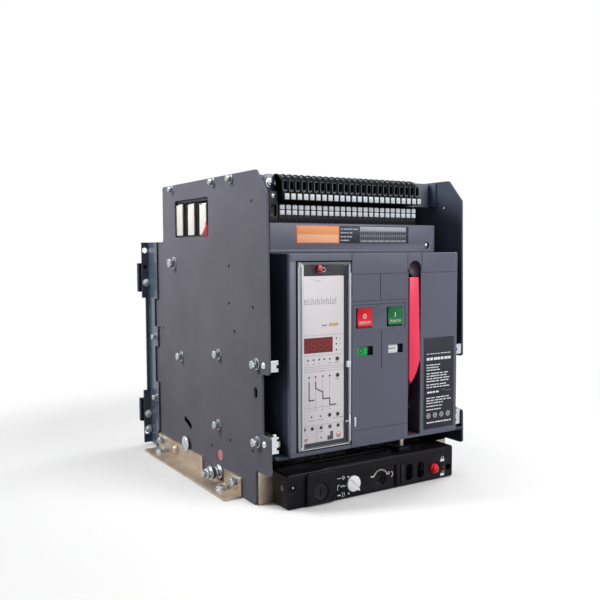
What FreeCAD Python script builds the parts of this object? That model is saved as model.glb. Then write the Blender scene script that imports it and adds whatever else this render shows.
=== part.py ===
"""Draw-out air circuit breaker: a fixed cradle, its racking drive and the withdrawable breaker.

Millimetres, +Z up, +X to the right as seen from the front, +Y to the rear.  Sizes are laid out
from the front edge of the cradle's side plates (y = 0) and the mounting surface (z = 0).  On
export every piece moves so that the origin is the centre of the four foot holes.
"""
import FreeCAD
import Part
import math
import os

V = FreeCAD.Vector
X_AXIS = V(1, 0, 0)
Y_AXIS = V(0, 1, 0)
Z_AXIS = V(0, 0, 1)

# ---- Driving dimensions -------------------------------------------------------------------
# Cradle
CRADLE_W = 320.0            # across the outer faces of the side plates
PLATE_T = 3.0
CRADLE_H = 421.5
PLATE_TOP_FRONT_Z = CRADLE_H - 30.0   # where the front edge turns into the top chamfer
CHAMFER_RUN = 33.0
EDGE_LEAN = 6.0              # set-back of the front edge at the chamfer
UPPER_REAR_Y = 339.0        # rear edge of the plate's upper part
STEP_Z = CRADLE_H - 85.5    # top of the plate's deeper rear part and of the rear brackets
LOWER_REAR_Y = 385.0
NOTCH_DEPTH = 20.0          # hand notch in the front edge
NOTCH_Z = (93.0, 170.4)
TAB_BOTTOM_Z = 45.0
TAB_BACK_Y = 38.0
WINDOW_Y = (171.0, 290.0)
WINDOW_Z = (CRADLE_H - 79.5, CRADLE_H - 24.5)
FOOT_OUT = 27.5             # how far each foot stands out from its side plate
FOOT_T = 3.0
FOOT_Y = (73.6, 362.7)
FOOT_LEG_H = 26.5
FOOT_HOLE_R = 5.5
FOOT_HOLE_INSET = 15.5      # from the foot's outer edge
FOOT_HOLE_Y = (111.6, 331.4)
TRAY_T = 2.5
TRAY_FRONT_Y = 35.6
TRAY_FLANGE_H = 43.0
TRAY_REAR_Y = 355.0
EARTH_Y = 142.0
EARTH_LENGTH = 26.0
EARTH_Z = 17.6
BRACKET_REAR_Y = 402.0
BRACKET_FRONT_Y = 361.0
BRACKET_OUT = 14.0
BRACKET_T = 3.0
BRACKET_WAIST = 8.0
BRACKET_WAIST_Z = (92.0, 245.0)
FLANGE_BOLTS_Z = (50.0, 270.0)
WALL_HOLE_R = 4.5
WALL_HOLE_Z = (22.0, STEP_Z - 13.0)
BEAM_T = 2.5
BEAM_H = 16.0
FRONT_BEAM_Y = (90.0, 165.0)
REAR_BEAM_Y = (285.0, 316.0)

# Main circuit
POLE_PITCH = 95.0
BUSBAR_W = 60.0
BUSBAR_T = 15.0
BUSBAR_END_Y = 412.0
BUSBAR_START_Y = 322.0
UPPER_BUSBAR_Z = CRADLE_H - 166.5
LOWER_BUSBAR_Z = 118.0
BUSBAR_HOLE_R = 5.5
BUSBAR_HOLE_PITCH = 30.0
BASE_Y = (322.0, 372.0)
BASE_Z = (36.0, STEP_Z - 2.0)
BASE_UPPER_Z = CRADLE_H - 29.5   # thinner upper part, flush with the side plates' rear edge
EAR_Z = ((40.0, 78.0), (STEP_Z - 81.0, STEP_Z - 34.0))
EAR_OUT = 178.5
FINGER_T = 8.0
BLADE_REAR_Y = 313.0        # how far the breaker's blades reach into the fingers
PAD_FRONT_Y = 262.0         # fixed contact pads
LOWER_FRONT_Y = 250.0       # front end of the lower conductors
NECK_HALF = 18.0            # lower conductor where the current transformer goes round it

# Racking box
BOX_W = 274.8
BOX_FACE_Y = -2.5
BOX_H = 44.5
BOX_WALL = 3.0
SCREW_X = 7.6
SCREW_Z = 17.4
SCREW_R = 6.0
CRANK_HOLE_R = 9.0
POINTER_X = -36.9
POINTER_Z = 18.1
POINTER_R = 10.5
UNLOCK_X = 102.3
UNLOCK_Z = 16.0
UNLOCK_R = 7.5
TAB_X = 44.5
KEY_COVER_X = (-110.3, -67.7)
KEY_X = -90.0
KEY_Z = 16.0
KEY_R = 11.5
RACK_TRAVEL = 52.0
CARRIAGE_Y = (100.0, 315.0)
CARRIAGE_HALF = 112.0
DECK_Z = (34.0, 42.0)

# Rails
RAIL_Z = 83.0
RAIL_H = 20.0
RAIL_CHANNEL_W = 12.0
RAIL_FRONT_Y = 3.0
RAIL_REAR_Y = 318.0
GUIDE_Z = 181.0
GUIDE_H = 14.0
GUIDE_REAR_Y = 300.0

# Breaker body
PANEL_W = 274.6
PANEL_FACE_Y = -8.8
PANEL_Z = (67.2, CRADLE_H - 102.5)
PANEL_WALL = 3.0
PANEL_BACK_Y = 60.0
PANEL_LAP = 10.0            # side walls that lap the body plates
COVER_FACE_Y = 38.9
COVER_TOP_Z = CRADLE_H - 64.0
BODY_PLATE_T = 3.0
BODY_Y = (60.0, 318.0)
BODY_Z = (52.0, CRADLE_H - 67.5)
FLOOR_T = 4.0
FLOOR_Y = (48.0, 300.0)
MOULD_GAP = 0.3             # to the body plates
MOULD_Z = (56.0, CRADLE_H - 121.5)
MOULD_FRONT_Y = 190.0
MOULD_REAR_Y = 298.0
MOULD_WALL = 5.0
CHUTE_Y = (176.0, 296.0)
CHUTE_TOP_Z = CRADLE_H - 39.5
CHUTE_W = 71.0
MECH_X = (-12.0, 44.0)        # left faces of the two mechanism plates
CAM_Y = 110.0
CAM_Z = UPPER_BUSBAR_Z - 15.0
CAM_SHAFT_R = 6.0
SPRING_X = -60.0
SPRING_Y = 90.0
SPRING_TOP_Z = 206.0
SHAFT_Y = 170.0
SHAFT_Z = 165.0
SHAFT_R = 12.0
PIVOT_Y = 232.0
PIVOT_Z = 128.0
OPEN_ANGLE = 14.0

# Front panel controls
CONTROLLER_X = (-126.0, -46.0)
CONTROLLER_Z = (74.0, PANEL_Z[1] - 11.0)
CONTROLLER_FACE_Y = -4.5
HINGE_X = -122.6
HINGE_Y = -7.3
HINGE_PIN_R = 1.0
KNUCKLE_R = 2.4
DOOR_SWING_GAP = 0.4        # room for the door's outer face when it stands open
OFF_X = (-37.9, -12.6)
ON_X = (12.0, 37.8)
BUTTON_Z = (221.7, 247.6)
OFF_FLAG_X = (-35.4, -10.5)
CHARGE_FLAG_X = (14.6, 39.6)
FLAG_Z = (186.0, 198.0)
HANDLE_SLOT_X = (48.5, 70.3)
HANDLE_SLOT_Z = (71.0, PANEL_Z[1] - 25.0)
HANDLE_PIVOT_Y = 16.0
HANDLE_PIVOT_Z = 106.0
HANDLE_AXLE_R = 4.0
INTERLOCK_X = 57.0           # pin under the panel, over the racking box
INTERLOCK_Y = 15.0
INTERLOCK_R = 3.2
RESET_X = -93.6
RESET_Z = CONTROLLER_Z[1] - 9.0
RESET_R = 5.0

# Terminals
TERMINAL_X = (-123.0, 102.0)
TERMINAL_COUNT = 24
LOWER_TIER_Z = (COVER_TOP_Z + 0.5, COVER_TOP_Z + 26.1)
UPPER_TIER_Z = (CRADLE_H - 36.1, CRADLE_H - 1.5)
MOUNT_SHEET_Y = 74.0

# Clearances
FIT = 0.05                  # radial, on pins and shafts
SLIDE = 0.4                 # between pieces that move past each other

# ---- Derived places -----------------------------------------------------------------------
ORIGIN_Y = sum(FOOT_HOLE_Y) / 2
PLATE_OUT = CRADLE_W / 2
PLATE_IN = PLATE_OUT - PLATE_T
POLES = (-POLE_PITCH, 0.0, POLE_PITCH)
SIDES = (("left", -1), ("right", 1))
BODY_PLATE_IN = PANEL_W / 2 - PANEL_WALL - BODY_PLATE_T
BODY_PLATE_OUT = BODY_PLATE_IN + BODY_PLATE_T
MOULD_W = 2 * (BODY_PLATE_IN - MOULD_GAP)


# ---- Shape helpers ------------------------------------------------------------------------
def box(x, y, z):
    """Block between pairs of coordinates, given in either order."""
    size = [abs(pair[1] - pair[0]) for pair in (x, y, z)]
    return Part.makeBox(*size, V(min(x), min(y), min(z)))


def rod(start, direction, radius, length):
    return Part.makeCylinder(radius, length, V(*start), direction)


def rounded(block, direction, radius):
    """Fillet the block's edges that run along one direction."""
    edges = [e for e in block.Edges if abs(e.tangentAt(e.FirstParameter).dot(direction)) > 0.999]
    return block.makeFillet(radius, edges)


def prism(points, direction, length):
    """Closed outline of 3-D points, extruded along a direction."""
    outline = Part.makePolygon([V(*p) for p in points + points[:1]])
    return Part.Face(outline).extrude(direction * length)


def plate_yz(points, x0, x1):
    return prism([(x0, y, z) for y, z in points], X_AXIS, x1 - x0)


def fuse(pieces):
    result = pieces[0]
    if len(pieces) > 1:
        result = pieces[0].multiFuse(pieces[1:])
    return result.removeSplitter()


def cut(shape, tools):
    return shape.cut(tools).removeSplitter() if tools else shape


def side_x(side, near, far):
    """X pair for a piece on one side, given as distances from the middle."""
    return (side * near, side * far)


def x_rod(side, near, length, y, z, radius):
    """Cylinder pointing outwards along X from a distance off the middle."""
    return rod((side * near, y, z), X_AXIS * side, radius, length)


def slot_x(side, near, far, y, z, half, radius, angle):
    """Slot with round ends, cut through along X and turned in the YZ plane."""
    length = far - near
    bar = box((0, length), (-half, half), (-radius, radius))
    ends = [rod((0, s * half, 0), X_AXIS, radius, length) for s in (-1, 1)]
    shape = fuse([bar] + ends)
    shape.rotate(V(0, 0, 0), X_AXIS, angle)
    shape.translate(V(near if side > 0 else -far, y, z))
    return shape


def hex_head(centre, direction, radius, height):
    points = [V(radius * math.cos(a), radius * math.sin(a), 0)
              for a in [math.radians(60 * k) for k in range(7)]]
    head = Part.Face(Part.makePolygon(points)).extrude(Z_AXIS * height)
    head.Placement = FreeCAD.Placement(V(*centre), FreeCAD.Rotation(Z_AXIS, direction))
    return head


def save(name, shape):
    shape = shape.copy()
    shape.translate(V(0, -ORIGIN_Y, 0))
    shape.exportStep("parts/" + name + ".step")


# ---- Cradle sheet metal -------------------------------------------------------------------
PLATE_HOLES = ((43.7, CRADLE_H - 38.0), (108.4, 301.9), (108.9, 252.3), (41.9, 251.2), (93.2, 216.4),
               (341.5, 199.6), (358.7, 199.6), (108.3, 68.8), (166.7, 49.1), (44.7, 68.4))
PLATE_HOLE_R = 2.2
PLATE_BOLTS = ((296.0, 303.5), (270.0, 163.0), (141.0, GUIDE_Z), (32.5, GUIDE_Z),
               (143.3, RAIL_Z), (31.3, RAIL_Z))
PLATE_RIVETS = ((15.8, GUIDE_Z), (14.6, RAIL_Z))
TOP_BOLTS_Y = (100.0, 154.0, 300.0)
BRACKET_BOLTS_Z = (84.0, 183.4)


def plate_front_y(z):
    """Front edge of the side plates, which leans back towards the top."""
    return EDGE_LEAN * (z - TAB_BOTTOM_Z) / (PLATE_TOP_FRONT_Z - TAB_BOTTOM_Z)


def side_plate(side):
    outline = [(0, TAB_BOTTOM_Z), (TAB_BACK_Y, TAB_BOTTOM_Z), (TAB_BACK_Y, 0),
               (LOWER_REAR_Y, 0), (LOWER_REAR_Y, STEP_Z), (UPPER_REAR_Y, STEP_Z),
               (UPPER_REAR_Y, CRADLE_H), (CHAMFER_RUN, CRADLE_H), (EDGE_LEAN, PLATE_TOP_FRONT_Z),
               (plate_front_y(NOTCH_Z[1]), NOTCH_Z[1]), (NOTCH_DEPTH, NOTCH_Z[1]),
               (NOTCH_DEPTH, NOTCH_Z[0]), (plate_front_y(NOTCH_Z[0]), NOTCH_Z[0])]
    near, far = sorted(side_x(side, PLATE_IN, PLATE_OUT))
    plate = rounded(plate_yz(outline, near, far), X_AXIS, 4.0)
    window = rounded(box((near - 1, far + 1), WINDOW_Y, WINDOW_Z), X_AXIS, 4.0)
    holes = [x_rod(side, PLATE_IN - 1, PLATE_T + 2, y, z, PLATE_HOLE_R) for y, z in PLATE_HOLES]
    slots = [slot_x(side, PLATE_IN - 1, PLATE_OUT + 1, 36.4, 144.0, 3.0, 4.6, 90),
             slot_x(side, PLATE_IN - 1, PLATE_OUT + 1, 250.0, 64.4, 9.0, 5.2, 22)]
    return cut(plate, [window] + holes + slots)


def base_tray():
    floor = box((-PLATE_IN, PLATE_IN), (TRAY_FRONT_Y, TRAY_REAR_Y), (0, TRAY_T))
    flange = box((-PLATE_IN, PLATE_IN), (TRAY_FRONT_Y, TRAY_FRONT_Y + TRAY_T), (0, TRAY_FLANGE_H))
    walls = [box(side_x(s, PLATE_IN - TRAY_T, PLATE_IN), (TRAY_FRONT_Y, TRAY_REAR_Y), (0, 30))
             for _, s in SIDES]
    bearing = box((SCREW_X - 14, SCREW_X + 14), (TRAY_REAR_Y - 14, TRAY_REAR_Y), (0, SCREW_Z + 14))
    bore = rod((SCREW_X, TRAY_FRONT_Y - 1, SCREW_Z), Y_AXIS, SCREW_R + FIT, TRAY_REAR_Y)
    return cut(fuse([floor, flange, bearing] + walls), [bore])


def mounting_foot(side):
    leg = box(side_x(side, PLATE_OUT, PLATE_OUT + FOOT_T), FOOT_Y, (0, FOOT_LEG_H))
    leg = rounded(leg, X_AXIS, 1.2)
    flange = rounded(box(side_x(side, PLATE_OUT, PLATE_OUT + FOOT_OUT), FOOT_Y, (0, FOOT_T)),
                     Z_AXIS, 1.2)
    relief = box(side_x(side, PLATE_OUT - 1, PLATE_OUT + FOOT_T + 1), (123, 194),
                 (FOOT_T + 4, FOOT_LEG_H + 1))
    hole_x = side * (PLATE_OUT + FOOT_OUT - FOOT_HOLE_INSET)
    holes = [rod((hole_x, y, -1), Z_AXIS, FOOT_HOLE_R, FOOT_T + 2) for y in FOOT_HOLE_Y]
    return cut(fuse([leg, flange]), [relief] + holes)


def rear_bracket(side):
    leg = box(side_x(side, PLATE_OUT, PLATE_OUT + BRACKET_T),
              (BRACKET_FRONT_Y, BRACKET_REAR_Y), (FOOT_LEG_H + 4, STEP_Z))
    foot_clear = box(side_x(side, PLATE_OUT, PLATE_OUT + BRACKET_T),
                     (FOOT_Y[1] + 2, BRACKET_REAR_Y), (4, FOOT_LEG_H + 4))
    flange = box(side_x(side, PLATE_OUT, PLATE_OUT + BRACKET_OUT),
                 (BRACKET_REAR_Y - BRACKET_T, BRACKET_REAR_Y), (4, STEP_Z))
    waist = box(side_x(side, PLATE_OUT + BRACKET_WAIST, PLATE_OUT + BRACKET_OUT + 1),
                (BRACKET_REAR_Y - BRACKET_T - 1, BRACKET_REAR_Y + 1), BRACKET_WAIST_Z)
    reliefs = [box(side_x(side, PLATE_OUT - 1, PLATE_OUT + BRACKET_T + 1),
                   (BRACKET_FRONT_Y - 1, BRACKET_FRONT_Y + 12), z) for z in ((110, 168), (200, 245))]
    hole_x = side * (PLATE_OUT + BRACKET_OUT - 5.5)
    holes = [rod((hole_x, BRACKET_REAR_Y - BRACKET_T - 1, z), Y_AXIS, WALL_HOLE_R, BRACKET_T + 2)
             for z in WALL_HOLE_Z]
    return cut(fuse([leg, foot_clear, flange]), [waist] + reliefs + holes)


def top_beam(y0, y1):
    top = CRADLE_H - 0.5
    sheet = box((-PLATE_IN, PLATE_IN), (y0, y1), (top - BEAM_T, top))
    edges = [box((-PLATE_IN, PLATE_IN), pair, (top - BEAM_H, top))
             for pair in ((y0, y0 + BEAM_T), (y1 - BEAM_T, y1))]
    ends = [box(side_x(s, PLATE_IN - BEAM_T, PLATE_IN), (y0, y1), (top - BEAM_H, top))
            for _, s in SIDES]
    return fuse([sheet] + edges + ends)


def window_grille(side):
    """Insulating insert that fills the side window, with three raised bars."""
    back = box(side_x(side, PLATE_IN - 5, PLATE_IN), (WINDOW_Y[0] - 6, WINDOW_Y[1] + 6),
               (WINDOW_Z[0] - 6, WINDOW_Z[1] + 4))
    fill = box(side_x(side, PLATE_IN, PLATE_OUT - 1.6), (WINDOW_Y[0] + 1, WINDOW_Y[1] - 1),
               (WINDOW_Z[0] + 1, WINDOW_Z[1] - 1))
    fill = rounded(fill, X_AXIS, 3.0)
    bars = [box(side_x(side, PLATE_OUT - 1.6, PLATE_OUT - 0.3), pair,
                (WINDOW_Z[0] + 2, WINDOW_Z[1] - 2)) for pair in ((177, 197), (218, 240), (262, 286))]
    return fuse([back, fill] + bars)


def bolt_x(side, start, y, z, radius, height):
    washer = x_rod(side, start, 1.2, y, z, radius * 1.45)
    head = hex_head((side * (start + 1.2), y, z), X_AXIS * side, radius, height)
    return fuse([washer, head])


def cradle_bolts():
    pieces = []
    for _, side in SIDES:
        pieces += [bolt_x(side, PLATE_OUT, y, z, 6.0, 7.5) for y, z in PLATE_BOLTS]
        pieces += [bolt_x(side, PLATE_OUT, y, CRADLE_H - 6.0, 3.6, 2.4) for y in TOP_BOLTS_Y]
        pieces += [x_rod(side, PLATE_OUT, 1.4, y, z, 4.2) for y, z in PLATE_RIVETS]
        pieces += [bolt_x(side, PLATE_OUT + BRACKET_T, 368.0, z, 3.6, 2.6)
                   for z in BRACKET_BOLTS_Z]
        pieces += [bolt_x(side, PLATE_OUT + FOOT_T, y, 18.5, 4.6, 3.0) for y in (87.3, 344.5)]
        pieces += [hex_head((side * (PLATE_OUT + BRACKET_OUT / 2 + 1.5), BRACKET_REAR_Y - BRACKET_T, z),
                            -Y_AXIS, 4.6, 3.4) for z in FLANGE_BOLTS_Z]
    return Part.makeCompound(pieces)


def earth_bolts():
    """Stud through each side plate with its nut, washers and head."""
    pieces = []
    y, z = EARTH_Y, EARTH_Z
    for _, side in SIDES:
        stack = [x_rod(side, PLATE_OUT, EARTH_LENGTH, y, z, 4.0)]
        stack += [x_rod(side, PLATE_OUT + out, 1.6, y, z, 9.5) for out in (0, 13.5)]
        stack += [hex_head((side * (PLATE_OUT + out), y, z), X_AXIS * side, 7.8, 6.2)
                  for out in (1.6, 15.1)]
        pieces.append(fuse(stack))
    return Part.makeCompound(pieces)


# ---- Cradle insulation and conductors -----------------------------------------------------
def rear_base():
    """Moulded insulating wall that holds the six busbars, with an ear at each corner."""
    wall = fuse([box((-PLATE_IN, PLATE_IN), BASE_Y, BASE_Z),
                 box((-PLATE_IN, PLATE_IN), (BASE_Y[0], UPPER_REAR_Y - 1), (BASE_Z[1], BASE_UPPER_Z))])
    pockets = [box((x - BUSBAR_W / 2 - 10, x + BUSBAR_W / 2 + 10), (BASE_Y[1] - 20, BASE_Y[1] + 1),
                   (z - 30, z + 30)) for x in POLES for z in (UPPER_BUSBAR_Z, LOWER_BUSBAR_Z)]
    passages = [box((x - BUSBAR_W / 2, x + BUSBAR_W / 2), (BASE_Y[0] - 1, BASE_Y[1] + 1),
                    (z - BUSBAR_T / 2, z + BUSBAR_T / 2))
                for x in POLES for z in (UPPER_BUSBAR_Z, LOWER_BUSBAR_Z)]
    arms = [box(side_x(s, PLATE_IN - 22, PLATE_IN), (BASE_Y[1], BASE_Y[1] + 38), z)
            for _, s in SIDES for z in EAR_Z]
    ears = [box(side_x(s, PLATE_IN - 22, EAR_OUT), (BRACKET_REAR_Y, BRACKET_REAR_Y + 8), z)
            for _, s in SIDES for z in EAR_Z]
    return cut(fuse([wall] + arms + ears), pockets + passages)


def busbar(x, z):
    bar = box((x - BUSBAR_W / 2, x + BUSBAR_W / 2), (BUSBAR_START_Y - 8, BUSBAR_END_Y),
              (z - BUSBAR_T / 2, z + BUSBAR_T / 2))
    bar = rounded(bar, Z_AXIS, 1.5)
    holes = [rod((x + dx, BUSBAR_END_Y - 16, z - BUSBAR_T), Z_AXIS, BUSBAR_HOLE_R, 2 * BUSBAR_T)
             for dx in (-BUSBAR_HOLE_PITCH / 2, BUSBAR_HOLE_PITCH / 2)]
    return cut(bar, holes)


def finger_clusters():
    """Spring fingers above and below each busbar, reaching forward onto the breaker's blades."""
    pieces = []
    for x in POLES:
        for z in (UPPER_BUSBAR_Z, LOWER_BUSBAR_Z):
            for s in (-1, 1):
                near = z + s * (BUSBAR_T / 2 + SLIDE)
                far = near + s * FINGER_T
                for k in range(6):
                    left = x - BUSBAR_W / 2 + 3 + 9.4 * k
                    pieces.append(box((left, left + 7.0), (302.0, 321.5), (near, far)))
    return Part.makeCompound(pieces)


# ---- Racking drive ------------------------------------------------------------------------
def box_rod(x, z, radius, y0, y1):
    return rod((x, y0, z), Y_AXIS, radius, y1 - y0)


def racking_housing():
    back = TRAY_FRONT_Y
    face = BOX_FACE_Y
    block = box((-BOX_W / 2, BOX_W / 2), (face, back), (0, BOX_H))
    block = rounded(block, Y_AXIS, 4.0)
    hollow = box((-BOX_W / 2 + BOX_WALL, BOX_W / 2 - BOX_WALL), (face + BOX_WALL, back + 1),
                 (-1, BOX_H - BOX_WALL))
    recess = box((-BOX_W / 2 - 1, KEY_COVER_X[0]), (face - 1, face + 1.5), (-1, BOX_H + 1))
    holes = [box_rod(SCREW_X, SCREW_Z, CRANK_HOLE_R, face - 1, face + 5),
             box_rod(POINTER_X, POINTER_Z, POINTER_R + SLIDE, face - 1, face + 5),
             box_rod(UNLOCK_X, UNLOCK_Z, UNLOCK_R + SLIDE, face - 1, face + 5),
             box_rod(128.7, 14.7, 4.6, face - 1, face + 5),
             box((30.2, 32.8), (face - 1, face + 5), (4.0, 32.0)),
             box((TAB_X - 2.5 - SLIDE, TAB_X + 2.5 + SLIDE), (face - 1, face + 5), (5 - SLIDE, 31 + SLIDE))]
    ovals = []
    for x in (57.0, 77.5):
        oval = box((x - 6, x + 6), (face - 1, face + 5), (12.5, 23.5))
        ovals += [oval, box_rod(x, 12.5, 6.0, face - 1, face + 5),
                  box_rod(x, 23.5, 6.0, face - 1, face + 5)]
    return cut(block, [hollow, recess] + holes + ovals)


def key_cover():
    plate = box(KEY_COVER_X, (BOX_FACE_Y - 4.0, BOX_FACE_Y), (0.6, BOX_H - 1.0))
    plate = rounded(plate, Y_AXIS, 2.5)
    return cut(plate, [box_rod(KEY_X, KEY_Z, KEY_R, BOX_FACE_Y - 5, BOX_FACE_Y + 1)])


def key_lock():
    barrel = box_rod(KEY_X, KEY_Z, KEY_R - SLIDE, BOX_FACE_Y - 3.0, BOX_FACE_Y)
    keyway = box((KEY_X - 1, KEY_X + 1), (BOX_FACE_Y - 4, BOX_FACE_Y - 1), (KEY_Z - 5, KEY_Z + 5))
    return cut(barrel, [keyway])


def racking_screw():
    shank = box_rod(SCREW_X, SCREW_Z, SCREW_R, TRAY_FRONT_Y - 12, TRAY_REAR_Y - 1)
    head = hex_head((SCREW_X, 4.0, SCREW_Z), Y_AXIS, 6.5, TRAY_FRONT_Y - 16)
    return fuse([shank, head])


def racking_carriage():
    y0, y1 = CARRIAGE_Y
    deck = box((-CARRIAGE_HALF, CARRIAGE_HALF), (y0, y1), DECK_Z)
    nut = box((SCREW_X - 16, SCREW_X + 16), (y0, y0 + 40), (SCREW_Z - 12, DECK_Z[0]))
    skids = [box(side_x(s, CARRIAGE_HALF - 8, CARRIAGE_HALF), (y0, y1), (TRAY_T + SLIDE, DECK_Z[0]))
             for _, s in SIDES]
    posts = [box(side_x(s, CARRIAGE_HALF - 16, CARRIAGE_HALF), (y, y + 24), (DECK_Z[1], BODY_Z[0] - SLIDE))
             for _, s in SIDES for y in (y0 + 20, y1 - 55)]
    bore = box_rod(SCREW_X, SCREW_Z, SCREW_R + FIT, y0 - 1, y0 + 41)
    window = box((-80, 80), (y0 + 50, y1 - 30), (DECK_Z[0] - 1, DECK_Z[1] + 1))
    return cut(fuse([deck, nut] + skids + posts), [bore, window])


def position_pointer():
    knob = box_rod(POINTER_X, POINTER_Z, POINTER_R, BOX_FACE_Y - 2.0, BOX_FACE_Y + 8.0)
    slot = box((POINTER_X - 1.2, POINTER_X + 1.2), (BOX_FACE_Y - 3, BOX_FACE_Y - 0.6),
               (POINTER_Z - 7.5, POINTER_Z + 7.5))
    slot.rotate(V(POINTER_X, 0, POINTER_Z), Y_AXIS, -35)
    spindle = box_rod(POINTER_X, POINTER_Z, 3.0, BOX_FACE_Y + 8.0, TRAY_FRONT_Y - 1)
    return fuse([cut(knob, [slot]), spindle])


def unlock_button():
    return fuse([box_rod(UNLOCK_X, UNLOCK_Z, UNLOCK_R, BOX_FACE_Y - 6.0, BOX_FACE_Y + 12.0),
                 box_rod(UNLOCK_X, UNLOCK_Z, UNLOCK_R + 2.5, BOX_FACE_Y + 4.0, BOX_FACE_Y + 6.0)])


def padlock_tab():
    tab = box((TAB_X - 2.5, TAB_X + 2.5), (BOX_FACE_Y - 1.5, BOX_FACE_Y + 26.0), (5.0, 31.0))
    hole = rod((TAB_X - 4, BOX_FACE_Y + 8.0, 18.0), X_AXIS, 4.0, 8)
    return cut(tab, [hole])


# ---- Rails --------------------------------------------------------------------------------
def fixed_rail(side):
    """C-channel screwed inside the side plate, open towards the breaker."""
    outer = PLATE_IN
    inner = PLATE_IN - RAIL_CHANNEL_W
    y = (RAIL_FRONT_Y + 6, RAIL_REAR_Y)
    z0, z1 = RAIL_Z - RAIL_H / 2, RAIL_Z + RAIL_H / 2
    web = box(side_x(side, outer - 2.5, outer), y, (z0, z1))
    lips = [box(side_x(side, inner, outer), y, pair) for pair in ((z0, z0 + 2.5), (z1 - 2.5, z1))]
    return fuse([web] + lips)


def slide_rail(side):
    """Pull-out bar in the channel, with the hooked end plate that shows beside the panel."""
    outer = PLATE_IN - 2.5 - SLIDE
    inner = PLATE_IN - RAIL_CHANNEL_W - 3.0
    half = RAIL_H / 2 - 2.5 - SLIDE
    bar = box(side_x(side, inner, outer), (RAIL_FRONT_Y + 3, RAIL_REAR_Y - 2),
              (RAIL_Z - half, RAIL_Z + half))
    plate = box(side_x(side, PLATE_IN - 11.0, PLATE_IN - 0.5), (RAIL_FRONT_Y, RAIL_FRONT_Y + 3),
                (RAIL_Z - 10.5, RAIL_Z + 10.2))
    hook = box(side_x(side, PLATE_IN - 7.5, PLATE_IN - 4.0), (RAIL_FRONT_Y, RAIL_FRONT_Y + 3),
               (RAIL_Z + 10.2, RAIL_Z + 14.0))
    return fuse([bar, plate, hook])


def upper_guide(side):
    outer = PLATE_IN
    y = (RAIL_FRONT_Y, GUIDE_REAR_Y)
    z0, z1 = GUIDE_Z - GUIDE_H / 2, GUIDE_Z + GUIDE_H / 2
    web = box(side_x(side, outer - 2.5, outer), y, (z0, z1))
    lip = box(side_x(side, outer - 9.0, outer), y, (z0, z0 + 2.5))
    face = box(side_x(side, outer - 11.0, outer), (RAIL_FRONT_Y, RAIL_FRONT_Y + 2.5), (z0, z1))
    return fuse([web, lip, face])


# ---- Breaker body -------------------------------------------------------------------------
def body_plate(side):
    plate = box(side_x(side, BODY_PLATE_IN, BODY_PLATE_OUT), BODY_Y, BODY_Z)
    plate = rounded(plate, X_AXIS, 6.0)
    lug_out = PLATE_IN - RAIL_CHANNEL_W - 3.0 + 5.0
    bottom = RAIL_Z + RAIL_H / 2 + SLIDE
    lug = box(side_x(side, BODY_PLATE_IN, lug_out), (70.0, 300.0), (bottom, bottom + 4.0))
    shaft = x_rod(side, BODY_PLATE_IN - 1, BODY_PLATE_T + 2, SHAFT_Y, SHAFT_Z, SHAFT_R - 4 + FIT)
    cam = x_rod(side, BODY_PLATE_IN - 1, BODY_PLATE_T + 2, CAM_Y, CAM_Z, CAM_SHAFT_R + FIT)
    return cut(fuse([plate, lug]), [shaft, cam])


def pole_partitions(y0, y1, z0, z1):
    """Outer and inner walls that part the three poles."""
    edge = MOULD_W / 2
    middles = (-POLE_PITCH / 2, POLE_PITCH / 2)
    spans = [(-edge, -edge + MOULD_WALL), (edge - MOULD_WALL, edge)]
    spans += [(m - MOULD_WALL / 2, m + MOULD_WALL / 2) for m in middles]
    return [box(span, (y0, y1), (z0, z1)) for span in spans]


def pole_rear_moulding():
    z0, z1 = MOULD_Z
    y1 = MOULD_REAR_Y
    back = box((-MOULD_W / 2, MOULD_W / 2), (y1 - MOULD_WALL, y1), (z0, z1))
    floor = box((-MOULD_W / 2, MOULD_W / 2), (MOULD_FRONT_Y, y1), (z0, z0 + MOULD_WALL))
    walls = pole_partitions(MOULD_FRONT_Y, y1, z0, z1)
    windows = [box((x - BUSBAR_W / 2, x + BUSBAR_W / 2), (y1 - MOULD_WALL - 1, y1 + 1),
                   (z - BUSBAR_T / 2, z + BUSBAR_T / 2))
               for x in POLES for z in (UPPER_BUSBAR_Z, LOWER_BUSBAR_Z)]
    return cut(fuse([back, floor] + walls), windows)


def pole_front_moulding():
    y1 = MOULD_FRONT_Y
    wall = box((-MOULD_W / 2, MOULD_W / 2), (y1 - 8, y1), MOULD_Z)
    slots = [box((x - 10, x + 10), (y1 - 9, y1 + 1), (140, MOULD_Z[1] - 50)) for x in POLES]
    return cut(wall, slots)


def arc_chute(x):
    """Vented box over one pole, open below, with its splitter plates inside."""
    y0, y1 = CHUTE_Y
    z0 = MOULD_Z[1]
    shell = rounded(box((x - CHUTE_W / 2, x + CHUTE_W / 2), (y0, y1), (z0, CHUTE_TOP_Z)), Z_AXIS, 3.0)
    hollow = box((x - CHUTE_W / 2 + 4, x + CHUTE_W / 2 - 4), (y0 + 4, y1 - 4), (z0 - 1, CHUTE_TOP_Z - 5))
    vents = [box((x - 30, x + 30), (y, y + 5), (CHUTE_TOP_Z - 6, CHUTE_TOP_Z + 1))
             for y in range(int(y0) + 14, int(y1) - 12, 12)]
    plates = [box((x - CHUTE_W / 2 + 4, x + CHUTE_W / 2 - 4), (y, y + 1.6), (z0 + 6, CHUTE_TOP_Z - 5))
              for y in range(int(y0) + 20, int(y1) - 12, 12)]
    return fuse([cut(shell, [hollow] + vents)] + plates)


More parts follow.
